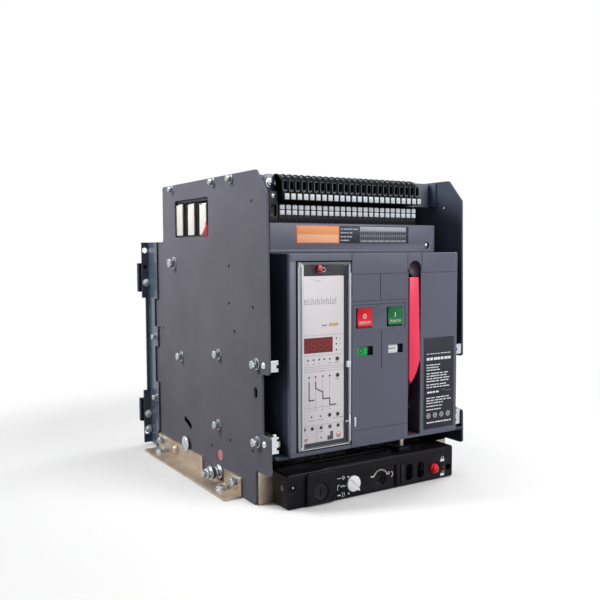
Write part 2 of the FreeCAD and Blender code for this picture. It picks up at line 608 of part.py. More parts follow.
def pole_terminals():
    """Upper and lower copper of the three poles, with blades behind the moulding."""
    pieces = []
    for x in POLES:
        span = (x - BUSBAR_W / 2, x + BUSBAR_W / 2)
        low = (LOWER_BUSBAR_Z - BUSBAR_T / 2, LOWER_BUSBAR_Z + BUSBAR_T / 2)
        high = (UPPER_BUSBAR_Z - BUSBAR_T / 2, UPPER_BUSBAR_Z + BUSBAR_T / 2)
        upper = box(span, (PAD_FRONT_Y + 4, BLADE_REAR_Y), high)
        pad = box((x - 22, x + 22), (PAD_FRONT_Y, PAD_FRONT_Y + 6), (high[0] - 32, high[1]))
        back = MOULD_REAR_Y - MOULD_WALL
        lower = fuse([box((x - NECK_HALF, x + NECK_HALF), (LOWER_FRONT_Y, back), low),
                      box(span, (back, BLADE_REAR_Y), low)])
        pieces.append(fuse([upper, pad]))
        pieces.append(lower)
    return Part.makeCompound(pieces)


def current_transformers():
    """Ring cores round the lower conductors, inside the moulding."""
    pieces = []
    for x in POLES:
        z = LOWER_BUSBAR_Z
        core = rounded(box((x - 30, x + 30), (268.0, 290.0), (z - 26, z + 26)), Y_AXIS, 6.0)
        bore = box((x - NECK_HALF - 1, x + NECK_HALF + 1), (267.0, 291.0),
                   (z - BUSBAR_T / 2 - 1, z + BUSBAR_T / 2 + 1))
        pieces.append(cut(core, [bore]))
    return Part.makeCompound(pieces)


def mechanism_frame():
    """Floor of the breaker with the pair of mechanism plates, their spacers and the handle cheek."""
    floor_top = BODY_Z[0] + FLOOR_T
    floor = box((-BODY_PLATE_IN, BODY_PLATE_IN), FLOOR_Y, (BODY_Z[0], floor_top))
    plates = [box((x, x + 4), (60.0, 150.0), (floor_top, BODY_Z[1] - 24)) for x in MECH_X]
    ties = [rod((MECH_X[0], y, z), X_AXIS, 5.0, MECH_X[1] - MECH_X[0])
            for y, z in ((70, 110), (70, BODY_Z[1] - 39), (140, BODY_Z[1] - 39))]
    shelf = box((SPRING_X - 24, MECH_X[0]), (66.0, 114.0), (SPRING_TOP_Z, SPRING_TOP_Z + 4))
    cheeks = [box((x, x + 3), (HANDLE_PIVOT_Y - 9, 54.0), (HANDLE_PIVOT_Z - 12, HANDLE_PIVOT_Z + 12))
              for x in (MECH_X[1], HANDLE_SLOT_X[1] + 1.5)]
    bridge = box((MECH_X[1], HANDLE_SLOT_X[1] + 4.5), (50.0, 60.0),
                 (HANDLE_PIVOT_Z - 12, HANDLE_PIVOT_Z + 12))
    bore = rod((-20.0, CAM_Y, CAM_Z), X_AXIS, CAM_SHAFT_R + FIT, 80.0)
    axle_bore = rod((MECH_X[1] - 1, HANDLE_PIVOT_Y, HANDLE_PIVOT_Z), X_AXIS, HANDLE_AXLE_R, 40.0)
    return cut(fuse([floor, shelf, bridge] + plates + ties + cheeks), [bore, axle_bore])


def handle_axle():
    length = HANDLE_SLOT_X[1] + 4.5 - MECH_X[1]
    return rod((MECH_X[1], HANDLE_PIVOT_Y, HANDLE_PIVOT_Z), X_AXIS, HANDLE_AXLE_R, length)


def main_shaft():
    """Contact shaft between the body plates, with a lever for each pole."""
    core = rod((-BODY_PLATE_IN + 1, SHAFT_Y, SHAFT_Z), X_AXIS, SHAFT_R, 2 * BODY_PLATE_IN - 2)
    ends = rod((-BODY_PLATE_OUT, SHAFT_Y, SHAFT_Z), X_AXIS, SHAFT_R - 4, 2 * BODY_PLATE_OUT)
    levers = []
    for x in POLES:
        lever = box((x - 5, x + 5), (SHAFT_Y, SHAFT_Y + 44), (SHAFT_Z - 8, SHAFT_Z + 8))
        lever.rotate(V(x, SHAFT_Y, SHAFT_Z), X_AXIS, 50)
        levers.append(lever)
    return fuse([core, ends] + levers)


def contact_arms():
    """Three moving contacts on one pivot, drawn open: leaning forward off the fixed pads."""
    length = UPPER_BUSBAR_Z - 14.0 - PIVOT_Z
    pieces = [rod((-MOULD_W / 2 + 6, PIVOT_Y, PIVOT_Z), X_AXIS, 5.0, MOULD_W - 12)]
    for x in POLES:
        for s in (-1, 1):
            cheek = box((x + s * 8, x + s * 22), (PIVOT_Y - 7, PIVOT_Y + 7), (PIVOT_Z - 10, PIVOT_Z + length))
            pad = box((x + s * 8, x + s * 22), (PIVOT_Y + 7, PAD_FRONT_Y - SLIDE),
                      (PIVOT_Z + length - 18, PIVOT_Z + length))
            pieces += [cheek, pad]
    arms = fuse(pieces)
    for middle in (-POLE_PITCH / 2, POLE_PITCH / 2):
        arms = arms.cut(box((middle - 4, middle + 4), (PIVOT_Y - 20, PIVOT_Y + 20),
                            (PIVOT_Z - 20, PIVOT_Z + 20)))
    arms.rotate(V(0, PIVOT_Y, PIVOT_Z), X_AXIS, OPEN_ANGLE)
    return arms


def camshaft():
    """Charging shaft with its cam and ratchet wheel."""
    shaft = rod((-BODY_PLATE_OUT, CAM_Y, CAM_Z), X_AXIS, CAM_SHAFT_R, 2 * BODY_PLATE_OUT)
    disc = rod((10.0, CAM_Y, CAM_Z), X_AXIS, 20.0, 14.0)
    lobe = box((10.0, 24.0), (CAM_Y - 20, CAM_Y + 20), (CAM_Z, CAM_Z + 30))
    wheel = rod((28.0, CAM_Y, CAM_Z), X_AXIS, 24.0, 10.0)
    teeth = []
    for k in range(18):
        tooth = box((28.0, 38.0), (CAM_Y - 3, CAM_Y + 3), (CAM_Z + 22, CAM_Z + 29))
        tooth.rotate(V(0, CAM_Y, CAM_Z), X_AXIS, 20 * k)
        teeth.append(tooth)
    return fuse([shaft, disc, lobe, wheel] + teeth)


def closing_spring():
    """Closing spring, a coil between its two seats beside the mechanism."""
    floor_top = BODY_Z[0] + FLOOR_T
    seat_h = 6.0
    coil_h = SPRING_TOP_Z - floor_top - 2 * seat_h - 2.0
    helix = Part.makeHelix(coil_h / 14, coil_h, 16.0)
    wire = Part.Wire(helix.Edges)
    section = Part.Wire(Part.Circle(V(16.0, 0, 0), Y_AXIS, 2.2).toShape())
    coil = wire.makePipeShell([section], True, True)
    coil.translate(V(SPRING_X, SPRING_Y, floor_top + seat_h + 1.0))
    seats = [rod((SPRING_X, SPRING_Y, z), Z_AXIS, 20.0, seat_h)
             for z in (floor_top, SPRING_TOP_Z - seat_h)]
    return Part.makeCompound([coil] + seats)


# ---- Breaker front ------------------------------------------------------------------------
def front_panel():
    """Moulded front cover: a tray open to the rear, with its windows and the handle slot."""
    half = PANEL_W / 2
    inner = half - PANEL_WALL
    block = box((-half, half), (PANEL_FACE_Y, PANEL_BACK_Y + PANEL_LAP), PANEL_Z)
    block = rounded(block, Y_AXIS, 2.4)
    hollow = box((-inner, inner), (PANEL_FACE_Y + PANEL_WALL, PANEL_BACK_Y + 1),
                 (PANEL_Z[0] + PANEL_WALL, PANEL_Z[1] - PANEL_WALL))
    ledges = [box(side_x(s, inner, PLATE_IN - 2.5), (PANEL_FACE_Y + 2.8, 36.0),
                  (PANEL_Z[0] - 1.2, PANEL_Z[0] + 1.8)) for _, s in SIDES]
    lap = box((-inner, inner), (PANEL_BACK_Y, PANEL_BACK_Y + PANEL_LAP + 1), (0, CRADLE_H))
    through = (PANEL_FACE_Y - 1, PANEL_FACE_Y + PANEL_WALL + 1)
    door = (CONTROLLER_X[0] - DOOR_SWING_GAP, CONTROLLER_X[1])
    openings = [box(door, through, CONTROLLER_Z), box(HANDLE_SLOT_X, through, HANDLE_SLOT_Z),
                box(OFF_X, through, BUTTON_Z), box(ON_X, through, BUTTON_Z),
                box(OFF_FLAG_X, through, FLAG_Z), box(CHARGE_FLAG_X, through, FLAG_Z)]
    pin_bore = rod((HINGE_X, HINGE_Y, CONTROLLER_Z[0] - 4), Z_AXIS, HINGE_PIN_R,
                   CONTROLLER_Z[1] - CONTROLLER_Z[0] + 8)
    shell = cut(fuse([block] + ledges), [hollow, lap, pin_bore] + openings)
    interlock_pin = rod((INTERLOCK_X, INTERLOCK_Y, BOX_H + 0.8), Z_AXIS, INTERLOCK_R,
                        PANEL_Z[0] + 1.0 - BOX_H - 0.8)
    return fuse([shell, interlock_pin])


def upper_cover():
    half = PANEL_W / 2
    back = 82.0
    z = (PANEL_Z[1], COVER_TOP_Z)
    block = rounded(box((-half, half), (COVER_FACE_Y, back), z), Y_AXIS, 2.0)
    hollow = box((-half + PANEL_WALL, half - PANEL_WALL), (COVER_FACE_Y + PANEL_WALL, back + 1),
                 (z[0] - 1, z[1] - PANEL_WALL))
    return cut(block, [hollow])


def controller_housing():
    x = (CONTROLLER_X[0] + SLIDE, CONTROLLER_X[1] - SLIDE)
    z = (CONTROLLER_Z[0] + SLIDE, CONTROLLER_Z[1] - SLIDE)
    block = box(x, (CONTROLLER_FACE_Y, 28.0), z)
    hollow = box((x[0] + 2, x[1] - 2), (CONTROLLER_FACE_Y + 3, 29.0), (z[0] + 2, z[1] - 2))
    hole = rod((RESET_X, CONTROLLER_FACE_Y - 1, RESET_Z), Y_AXIS, RESET_R + SLIDE, 5.0)
    return cut(block, [hollow, hole])


def controller_cover():
    """Clear door on a full-height knuckle, cut away round the reset button."""
    plate = box((HINGE_X, CONTROLLER_X[1] - SLIDE), (PANEL_FACE_Y - 1.5, PANEL_FACE_Y + 0.7),
                (CONTROLLER_Z[0] + SLIDE, CONTROLLER_Z[1] - SLIDE))
    knuckle = rod((HINGE_X, HINGE_Y, CONTROLLER_Z[0] + SLIDE), Z_AXIS, KNUCKLE_R,
                  CONTROLLER_Z[1] - CONTROLLER_Z[0] - 2 * SLIDE)
    bore = rod((HINGE_X, HINGE_Y, CONTROLLER_Z[0] - 1), Z_AXIS, HINGE_PIN_R + FIT,
               CONTROLLER_Z[1] - CONTROLLER_Z[0] + 2)
    relief = rod((RESET_X, PANEL_FACE_Y - 3, RESET_Z), Y_AXIS, RESET_R + 2.5, 6.0)
    return cut(fuse([plate, knuckle]), [bore, relief])


def cover_hinge_pin():
    return rod((HINGE_X, HINGE_Y, CONTROLLER_Z[0] - 4), Z_AXIS, HINGE_PIN_R,
               CONTROLLER_Z[1] - CONTROLLER_Z[0] + 8)


def reset_button():
    return fuse([rod((RESET_X, CONTROLLER_FACE_Y - 7.5, RESET_Z), Y_AXIS, RESET_R, 16.0),
                 rod((RESET_X, CONTROLLER_FACE_Y + 4.0, RESET_Z), Y_AXIS, RESET_R + 1.4, 2.0)])


def push_button(x):
    """Square key with its retaining flange and the plunger behind it."""
    gap = SLIDE
    key = box((x[0] + gap, x[1] - gap), (PANEL_FACE_Y - 2.2, 4.0), (BUTTON_Z[0] + gap, BUTTON_Z[1] - gap))
    key = rounded(key, Y_AXIS, 1.2)
    behind = PANEL_FACE_Y + PANEL_WALL + 0.5
    flange = box((x[0] - 1.5, x[1] + 1.5), (behind, behind + 2.0), (BUTTON_Z[0] - 1.5, BUTTON_Z[1] + 1.5))
    middle = ((x[0] + x[1]) / 2, 4.0, sum(BUTTON_Z) / 2)
    return fuse([key, flange, rod(middle, Y_AXIS, 4.0, 26.0)])


def indicator_flag(x):
    """Two-field flag that slides down behind its window."""
    behind = PANEL_FACE_Y + PANEL_WALL + 0.5
    height = FLAG_Z[1] - FLAG_Z[0] + 2.0
    low = FLAG_Z[0] - 1.0
    plate = box((x[0] - 1.0, x[1] + 1.0), (behind, behind + 1.6), (low, low + 2 * height))
    stem = box((sum(x) / 2 - 2, sum(x) / 2 + 2), (behind + 1.6, 40.0), (FLAG_Z[0] + 2, FLAG_Z[0] + 8))
    return fuse([plate, stem])


def charging_handle():
    """Pull-down lever: a broad grip on an arm that turns on the axle at the foot of the slot."""
    left = HANDLE_SLOT_X[0] + SLIDE
    face = PANEL_FACE_Y - 2.0
    top = HANDLE_SLOT_Z[1] - 8.0
    grip = [(left, 148.0), (left, top), (65.0, top), (68.8, 174.0), (63.0, 157.0), (52.0, 141.0)]
    grip = prism([(x, face, z) for x, z in grip], Y_AXIS, 12.0)
    arm = plate_yz([(-6, 172), (2, 172), (24, 114), (24, 98), (10, 97), (7, 104)], 50.5, 60.0)
    axle = rod((40.0, HANDLE_PIVOT_Y, HANDLE_PIVOT_Z), X_AXIS, HANDLE_AXLE_R + FIT, 40.0)
    return cut(fuse([grip, arm]), [axle])


# ---- Terminals ----------------------------------------------------------------------------
def moving_terminal_block():
    x = TERMINAL_X
    z0, z1 = COVER_TOP_Z, LOWER_TIER_Z[1]
    profile = [(COVER_FACE_Y, z0), (COVER_FACE_Y, z0 + 22), (COVER_FACE_Y + 6, z1), (78, z1), (78, z0)]
    return plate_yz(profile, x[0], x[1])


def fixed_terminal_block():
    z0, z1 = UPPER_TIER_Z
    sheet = MOUNT_SHEET_Y
    profile = [(27, z0), (27, z0 + 8.5), (33, z0 + 9.5), (33.4, z1 - 8.5), (45, z1), (60, z1),
               (sheet, z1 - 4), (sheet, z0)]
    return plate_yz(profile, TERMINAL_X[0], TERMINAL_X[1])


def terminal_mount_sheet():
    sheet = box((-PLATE_IN, PLATE_IN), (MOUNT_SHEET_Y, MOUNT_SHEET_Y + 2), (UPPER_TIER_Z[0], CRADLE_H - 1.5))
    ends = [box(side_x(s, PLATE_IN - 2, PLATE_IN), (MOUNT_SHEET_Y - 16, MOUNT_SHEET_Y + 2),
                (UPPER_TIER_Z[0], CRADLE_H - 1.5)) for _, s in SIDES]
    return fuse([sheet] + ends)


def terminal_end_block():
    """End stop on the left of the moving terminal row."""
    block = box((TERMINAL_X[0] - 15, TERMINAL_X[0] - 1), (COVER_FACE_Y, MOUNT_SHEET_Y - 3),
                (COVER_TOP_Z, UPPER_TIER_Z[0] + 11.6))
    return rounded(block, Y_AXIS, 1.5)


def terminal_end_bracket():
    """Sheet bracket that closes the fixed terminal row on the right."""
    x = (TERMINAL_X[1] + 1, PLATE_IN - 5)
    z = UPPER_TIER_Z
    face = box(x, (MOUNT_SHEET_Y - 3, MOUNT_SHEET_Y), z)
    web = box((x[0], x[0] + 2.5), (MOUNT_SHEET_Y - 22, MOUNT_SHEET_Y), z)
    return fuse([face, web])


# ---- Assembly -----------------------------------------------------------------------------
def pieces():
    """Every sub-part by its node name."""
    found = {}
    for name, side in SIDES:
        found[name + "_side_plate"] = side_plate(side)
        found[name + "_mounting_foot"] = mounting_foot(side)
        found[name + "_rear_bracket"] = rear_bracket(side)
        found[name + "_window_grille"] = window_grille(side)
        found[name + "_cradle_rails"] = Part.makeCompound([fixed_rail(side), upper_guide(side)])
        found[name + "_slide_rail"] = slide_rail(side)
        found[name + "_body_plate"] = body_plate(side)
    for k, x in enumerate(POLES, 1):
        found["arc_chute_%d" % k] = arc_chute(x)
    found["upper_busbars"] = Part.makeCompound([busbar(x, UPPER_BUSBAR_Z) for x in POLES])
    found["lower_busbars"] = Part.makeCompound([busbar(x, LOWER_BUSBAR_Z) for x in POLES])
    found["base_tray"] = base_tray()
    found["top_front_beam"] = top_beam(*FRONT_BEAM_Y)
    found["top_rear_beam"] = top_beam(*REAR_BEAM_Y)
    found["rear_insulating_base"] = rear_base()
    found["finger_clusters"] = finger_clusters()
    found["cradle_bolts"] = cradle_bolts()
    found["earth_bolts"] = earth_bolts()
    found["fixed_terminal_block"] = fixed_terminal_block()
    found["terminal_mount_sheet"] = terminal_mount_sheet()
    found["terminal_end_block"] = terminal_end_block()
    found["terminal_end_bracket"] = terminal_end_bracket()
    found["racking_box_housing"] = racking_housing()
    found["key_cover"] = key_cover()
    found["key_lock"] = key_lock()
    found["racking_screw"] = racking_screw()
    found["racking_carriage"] = racking_carriage()
    found["position_pointer"] = position_pointer()
    found["unlock_button"] = unlock_button()
    found["padlock_tab"] = padlock_tab()
    found["pole_rear_moulding"] = pole_rear_moulding()
    found["pole_front_moulding"] = pole_front_moulding()
    found["pole_terminals"] = pole_terminals()
    found["current_transformers"] = current_transformers()
    found["mechanism_frame"] = mechanism_frame()
    found["main_shaft"] = main_shaft()
    found["contact_arms"] = contact_arms()
    found["camshaft"] = camshaft()
    found["closing_spring"] = closing_spring()
    found["front_panel"] = front_panel()
    found["upper_cover"] = upper_cover()
    found["controller_housing"] = controller_housing()
    found["controller_cover"] = controller_cover()
    found["cover_hinge_pin"] = cover_hinge_pin()
    found["reset_button"] = reset_button()
    found["off_button"] = push_button(OFF_X)
    found["on_button"] = push_button(ON_X)
    found["state_indicator"] = indicator_flag(OFF_FLAG_X)
    found["charge_indicator"] = indicator_flag(CHARGE_FLAG_X)
    found["charging_handle"] = charging_handle()
    found["handle_axle"] = handle_axle()
    found["moving_terminal_block"] = moving_terminal_block()
    return found


os.makedirs("parts", exist_ok=True)
for node, shape in pieces().items():
    save(node, shape)
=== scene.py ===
"""Looks of the draw-out air circuit breaker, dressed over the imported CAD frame.

Sizes are in millimetres with y counted from the front edge of the cradle's side plates, as the
part is laid out; Piece.place turns them into metres in the row's frame.
"""
import math

import bmesh
import bpy
from mathutils import Euler, Matrix, Vector

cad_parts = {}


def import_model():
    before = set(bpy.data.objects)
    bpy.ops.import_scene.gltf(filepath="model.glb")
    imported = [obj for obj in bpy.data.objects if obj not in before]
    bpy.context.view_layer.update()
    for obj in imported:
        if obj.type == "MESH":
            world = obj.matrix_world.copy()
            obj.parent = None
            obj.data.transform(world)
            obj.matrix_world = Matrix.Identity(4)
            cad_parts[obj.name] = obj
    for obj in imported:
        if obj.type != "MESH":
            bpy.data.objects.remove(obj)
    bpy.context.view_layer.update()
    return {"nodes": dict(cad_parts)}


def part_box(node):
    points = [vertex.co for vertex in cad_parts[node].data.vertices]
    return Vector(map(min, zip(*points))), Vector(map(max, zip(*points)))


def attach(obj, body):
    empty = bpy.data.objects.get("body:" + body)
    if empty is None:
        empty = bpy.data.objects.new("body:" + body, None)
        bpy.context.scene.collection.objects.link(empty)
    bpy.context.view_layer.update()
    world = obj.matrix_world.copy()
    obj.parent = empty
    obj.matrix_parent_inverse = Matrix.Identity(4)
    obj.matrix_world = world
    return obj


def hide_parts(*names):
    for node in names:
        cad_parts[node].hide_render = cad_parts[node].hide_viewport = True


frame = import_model()

MM = 0.001
FRONT_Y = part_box("left_side_plate")[0].y
X = Vector((1, 0, 0))
Y = Vector((0, 1, 0))
Z = Vector((0, 0, 1))
AHEAD = Vector((0, -1, 0))


class Box:
    """Extents of a CAD node in the layout's millimetres."""

    def __init__(self, node):
        low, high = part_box(node)
        self.x = (low.x / MM, high.x / MM)
        self.y = ((low.y - FRONT_Y) / MM, (high.y - FRONT_Y) / MM)
        self.z = (low.z / MM, high.z / MM)

    def mid(self, axis):
        return sum(getattr(self, axis)) / 2


def off(base, low, high):
    """Span from one value, by two distances."""
    return (base + low, base + high)


def around(middle, half):
    return off(middle, -half, half)


def grow(span, low, high=None):
    """Span with both ends moved outward."""
    return (span[0] - low, span[1] + (low if high is None else high))


def mirrored(side, a, b):
    """Span on the left (-1) or right (1) side."""
    return sorted((side * a, side * b))


# ---- Materials ----------------------------------------------------------------------------
COAT_ROUGH = 0.12
RELIEF = 0.0004


def srgb(*levels):
    """Linear colour from 0-255 display values."""
    shares = [c / 255 for c in levels]
    return [c / 12.92 if c <= 0.04045 else ((c + 0.055) / 1.055) ** 2.4 for c in shares]


def feed(tree, node, inputs):
    """Give a node its inputs: sockets are linked, numbers and colours are written."""
    for key, value in inputs.items():
        if isinstance(value, bpy.types.NodeSocket):
            tree.links.new(value, node.inputs[key])
        else:
            node.inputs[key].default_value = value


def add_node(tree, kind, inputs=None, **settings):
    node = tree.nodes.new("ShaderNode" + kind)
    for key, value in settings.items():
        setattr(node, key, value)
    feed(tree, node, inputs or {})
    return node


def noise(tree, coords, scale, detail, stretch):
    if stretch:
        coords = add_node(tree, "Mapping", {"Scale": stretch, "Vector": coords}).outputs["Vector"]
    inputs = {"Scale": scale, "Detail": detail, "Vector": coords}
    return add_node(tree, "TexNoise", inputs).outputs["Fac"]


def surface(name, color, rough, metal=0.0, mottle=0.06, cloud=9.0, grain=900.0, bump=0.04,
            second=None, stretch=None, coat=0.0, specular=0.5):
    """Principled finish with cloudy tone, uneven gloss and a fine bump, colours as 0-255."""
    mat = bpy.data.materials.new(name)
    mat.use_nodes = True
    tree = mat.node_tree
    coords = add_node(tree, "TexCoord").outputs["Object"]
    ramp = add_node(tree, "ValToRGB", {"Fac": noise(tree, coords, cloud, 4.0, stretch)})
    tones = ((0.3, color, 1 - mottle), (0.7, second or color, 1 + mottle))
    for stop, (place, shade, gain) in zip(ramp.color_ramp.elements, tones):
        stop.position = place
        stop.color = [min(1.0, c * gain) for c in srgb(*shade)] + [1.0]
    patches = noise(tree, coords, cloud * 3, 3.0, stretch)
    gloss = add_node(tree, "MapRange", {"Value": patches, "From Min": 0.25, "From Max": 0.75,
                                        "To Min": rough * 0.85, "To Max": min(1.0, rough * 1.15)})
    shader = tree.nodes["Principled BSDF"]
    feed(tree, shader, {"Metallic": metal, "Coat Weight": coat, "Coat Roughness": COAT_ROUGH,
                        "Specular IOR Level": specular, "Base Color": ramp.outputs["Color"],
                        "Roughness": gloss.outputs["Result"]})
    if bump:
        fine = noise(tree, coords, grain, 2.0, stretch)
        dents = add_node(tree, "Bump", {"Strength": bump, "Distance": RELIEF, "Height": fine})
        feed(tree, shader, {"Normal": dents.outputs["Normal"]})
    return mat


def clear_plastic(name, tint, alpha, rough):
    mat = surface(name, tint, rough, mottle=0.0, bump=0.0, specular=0.3)
    mat.node_tree.nodes["Principled BSDF"].inputs["Alpha"].default_value = alpha
    mat.surface_render_method = "BLENDED"
    return mat


COATED = {"cloud": 14, "grain": 1500, "bump": 0.10}
MOULDED = {"cloud": 10, "grain": 2200, "bump": 0.08}
SIGNAL = {"mottle": 0.05, "cloud": 40, "specular": 0.3}
INK = {"cloud": 60, "bump": 0.0}
LABEL = {"mottle": 0.03, "cloud": 20, "bump": 0.0}

PLATE = surface("plate_powder_coat", (102, 101, 111), 0.5, mottle=0.09, specular=0.08, **COATED)
# Darker copy of the plate coat: painted shade on the right side plate and the top beams.
PLATE_PAINTED_SHADE = surface("plate_coat_painted_shade", (70, 75, 90), 0.5, mottle=0.09, specular=0.08, **COATED)
BRACKET_GREY = surface("bracket_grey_coat", (104, 112, 124), 0.45, mottle=0.07, cloud=14,
                       bump=0.08, specular=0.3)
GLOSS_BLACK = surface("gloss_black_coat", (76, 87, 104), 0.28, mottle=0.1, cloud=20, bump=0.05,
                      coat=0.2, specular=0.4)
ZINC_YELLOW = surface("yellow_passivated_zinc", (190, 170, 150), 0.38, metal=0.7, mottle=0.10,
                      cloud=30, second=(200, 188, 174), bump=0.05)
ZINC = surface("bright_zinc", (205, 210, 214), 0.26, metal=0.9, mottle=0.08, cloud=120, bump=0.06)
DULL_STEEL = surface("dull_steel", (120, 124, 130), 0.4, metal=0.9, mottle=0.1, cloud=80)
COPPER = surface("tinned_copper", (205, 196, 182), 0.3, metal=0.9, mottle=0.08, cloud=60,
                 second=(214, 190, 165), stretch=(1, 0.15, 1))
PANEL = surface("panel_moulding", (96, 98, 114), 0.42, mottle=0.03, specular=0.25, **MOULDED)
COVER_GREY = surface("top_cover_moulding", (108, 109, 125), 0.42, mottle=0.03, specular=0.3, **MOULDED)
SLOT_GREY = surface("slot_moulding", (84, 70, 84), 0.45, mottle=0.04, cloud=10, bump=0.05,
                    specular=0.15)
PANEL_DARK = surface("panel_recess", (52, 55, 66), 0.45, mottle=0.04, specular=0.2, **MOULDED)
SIDE_BLACK = surface("breaker_side_moulding", (44, 54, 68), 0.5, mottle=0.08, specular=0.15, **COATED)
BLACK = surface("black_moulding", (22, 23, 28), 0.42, mottle=0.08, cloud=40, grain=2000, bump=0.10,
                specular=0.2)
BOX_BLACK = surface("racking_box_moulding", (20, 18, 22), 0.36, mottle=0.08, cloud=30, grain=2400,
                    bump=0.12, specular=0.12)
DEEP_BLACK = surface("deep_black", (9, 10, 14), 0.5, mottle=0.05, specular=0.1)
MAROON_RED = surface("dark_red_flag", (150, 30, 42), 0.4, mottle=0.12, cloud=60, specular=0.3)
# Dark copy of the handle red for its arm: painted shade inside the slot.
MAROON = surface("handle_arm_painted_shade", (44, 16, 24), 0.45, mottle=0.1, cloud=30, specular=0.2)
BASE_BLACK = surface("thermoset_moulding", (32, 33, 38), 0.5, mottle=0.12, cloud=45, grain=1200,
                     bump=0.15, specular=0.2)
CREAM = surface("cream_moulding", (229, 224, 216), 0.4, mottle=0.05, cloud=25)
FACE = surface("controller_face", (226, 219, 223), 0.4, mottle=0.015, cloud=12, bump=0.02)
WHITE = surface("white_moulding", (236, 238, 240), 0.35, mottle=0.02, cloud=40)
MARKER = surface("terminal_marker", (214, 220, 226), 0.4, mottle=0.05, cloud=90)
PRINT_WHITE = surface("white_print", (244, 245, 248), 0.5, mottle=0.03, **INK)
PRINT_GREY = surface("grey_print", (176, 178, 190), 0.5, mottle=0.04, **INK)
PRINT_BLACK = surface("black_print", (34, 30, 36), 0.5, mottle=0.05, **INK)
PRINT_FAINT = surface("faint_print", (140, 134, 144), 0.5, mottle=0.05, **INK)
PRINT_GOLD = surface("ochre_print", (206, 160, 60), 0.5, mottle=0.06, cloud=80, bump=0.0)
RED = surface("red_moulding", (222, 26, 46), 0.34, **SIGNAL)
GREEN = surface("green_moulding", (4, 112, 54), 0.34, **SIGNAL)
FLAG_GREEN = surface("green_flag", (10, 176, 84), 0.34, **SIGNAL)
PINK = surface("reset_cap", (214, 74, 100), 0.3, mottle=0.08, cloud=60)
DARK_RED = surface("reset_sleeve", (112, 18, 36), 0.35, mottle=0.08, cloud=60)
HANDLE_RED = surface("handle_moulding", (246, 42, 84), 0.36, mottle=0.04, cloud=12,
                     second=(250, 58, 98))
DISPLAY = surface("display_window", (122, 2, 8), 0.3, mottle=0.1, cloud=50, bump=0.0, specular=0.0)
SEGMENT = surface("display_segment", (168, 34, 40), 0.4, mottle=0.05, bump=0.0, specular=0.1)
ORANGE = surface("orange_label", (255, 172, 116), 0.4, specular=0.1, **LABEL)
ORANGE_PALE = surface("pale_orange_label", (255, 190, 148), 0.4, specular=0.1, **LABEL)
ORANGE_EDGE = surface("label_border", (226, 96, 52), 0.4, **LABEL)
NAMEPLATE = surface("name_plate", (48, 48, 58), 0.45, mottle=0.04, cloud=20, bump=0.02, specular=0.15)
BRONZE = surface("bronze_terminal", (226, 188, 162), 0.4, metal=0.3, mottle=0.12, cloud=200)
CLEAR = clear_plastic("clear_door", (235, 240, 245), 0.03, 0.06)
CLEAR_RIM = clear_plastic("clear_door_rim", (205, 212, 222), 0.16, 0.12)
# Semi-opaque pale plastic: the hinge rod and the painted highlights along the door edges.
CLEAR_EDGE_AND_HIGHLIGHT = clear_plastic("clear_door_edge_and_highlight", (226, 229, 238), 0.62, 0.12)
# Pale grey for the painted glints on the upper terminals.
GLINT = surface("pale_glint", (128, 138, 148), 0.3, mottle=0.1, cloud=90, bump=0.0)
KNOB_WHITE = surface("knob_moulding", (253, 253, 253), 0.35, mottle=0.01, cloud=40)


# ---- Mesh building ------------------------------------------------------------------------
def oriented(bm, centre, axis):
    """Turn a solid built along +Z to lie along another axis, then move it."""
    turn = Vector(axis).normalized().to_track_quat("Z", "Y").to_matrix().to_4x4()
    bmesh.ops.transform(bm, matrix=Matrix.Translation(Vector(centre)) @ turn, verts=bm.verts)
    return bm


def soften(bm, width, segments=2, angle=30.0):
    """Bevel every edge that is sharper than the angle."""
    if width <= 0:
        return bm
    limit = math.radians(angle)
    edges = [e for e in bm.edges if len(e.link_faces) == 2 and e.calc_face_angle(0) > limit]
    bmesh.ops.bevel(bm, geom=edges, offset=width, offset_type="OFFSET", segments=segments,
                    profile=0.5, affect="EDGES", clamp_overlap=True)
    return bm


def block(x, y, z, bevel=0.4, segments=2):
    bm = bmesh.new()
    bmesh.ops.create_cube(bm, size=1.0)
    sizes = [abs(p[1] - p[0]) for p in (x, y, z)]
    middle = Vector([sum(p) / 2 for p in (x, y, z)])
    bmesh.ops.scale(bm, vec=sizes, verts=bm.verts)
    bmesh.ops.translate(bm, vec=middle, verts=bm.verts)
    return soften(bm, min(bevel, min(sizes) * 0.4), segments)


def tube(centre, axis, radius, length, bevel=0.3, sides=40, tip=None):
    """Solid cylinder or cone frustum from a start point along an axis."""
    bm = bmesh.new()
    bmesh.ops.create_cone(bm, cap_ends=True, segments=sides, radius1=radius,
                          radius2=radius if tip is None else tip, depth=length)
    bmesh.ops.translate(bm, vec=(0, 0, length / 2), verts=bm.verts)
    soften(bm, min(bevel, length * 0.4), 2, 40)
    return oriented(bm, centre, axis)


def ring(centre, axis, outer, inner, length, bevel=0.2, sides=48):
    """Washer: an annulus with rounded edges."""
    bm = bmesh.new()
    profile = [(inner, 0), (outer, 0), (outer, length), (inner, length)]
    loops = []
    for k in range(sides):
        a = 2 * math.pi * k / sides
        loops.append([bm.verts.new((r * math.cos(a), r * math.sin(a), h)) for r, h in profile])
    for k in range(sides):
        near, far = loops[k], loops[(k + 1) % sides]
        for i in range(4):
            j = (i + 1) % 4
            bm.faces.new((near[i], far[i], far[j], near[j]))
    bmesh.ops.recalc_face_normals(bm, faces=bm.faces)
    soften(bm, min(bevel, length * 0.4), 2, 40)
    return oriented(bm, centre, axis)


def dome(centre, axis, radius, height, sides=36, rings=8):
    """Low round cap on a flat base."""
    bm = bmesh.new()
    bmesh.ops.create_uvsphere(bm, u_segments=sides, v_segments=rings * 2, radius=1.0)
    bmesh.ops.delete(bm, geom=[v for v in bm.verts if v.co.z < -0.01], context="VERTS")
    bmesh.ops.scale(bm, vec=(radius, radius, height), verts=bm.verts)
    bmesh.ops.holes_fill(bm, edges=[e for e in bm.edges if len(e.link_faces) == 1], sides=0)
    return oriented(bm, centre, axis)


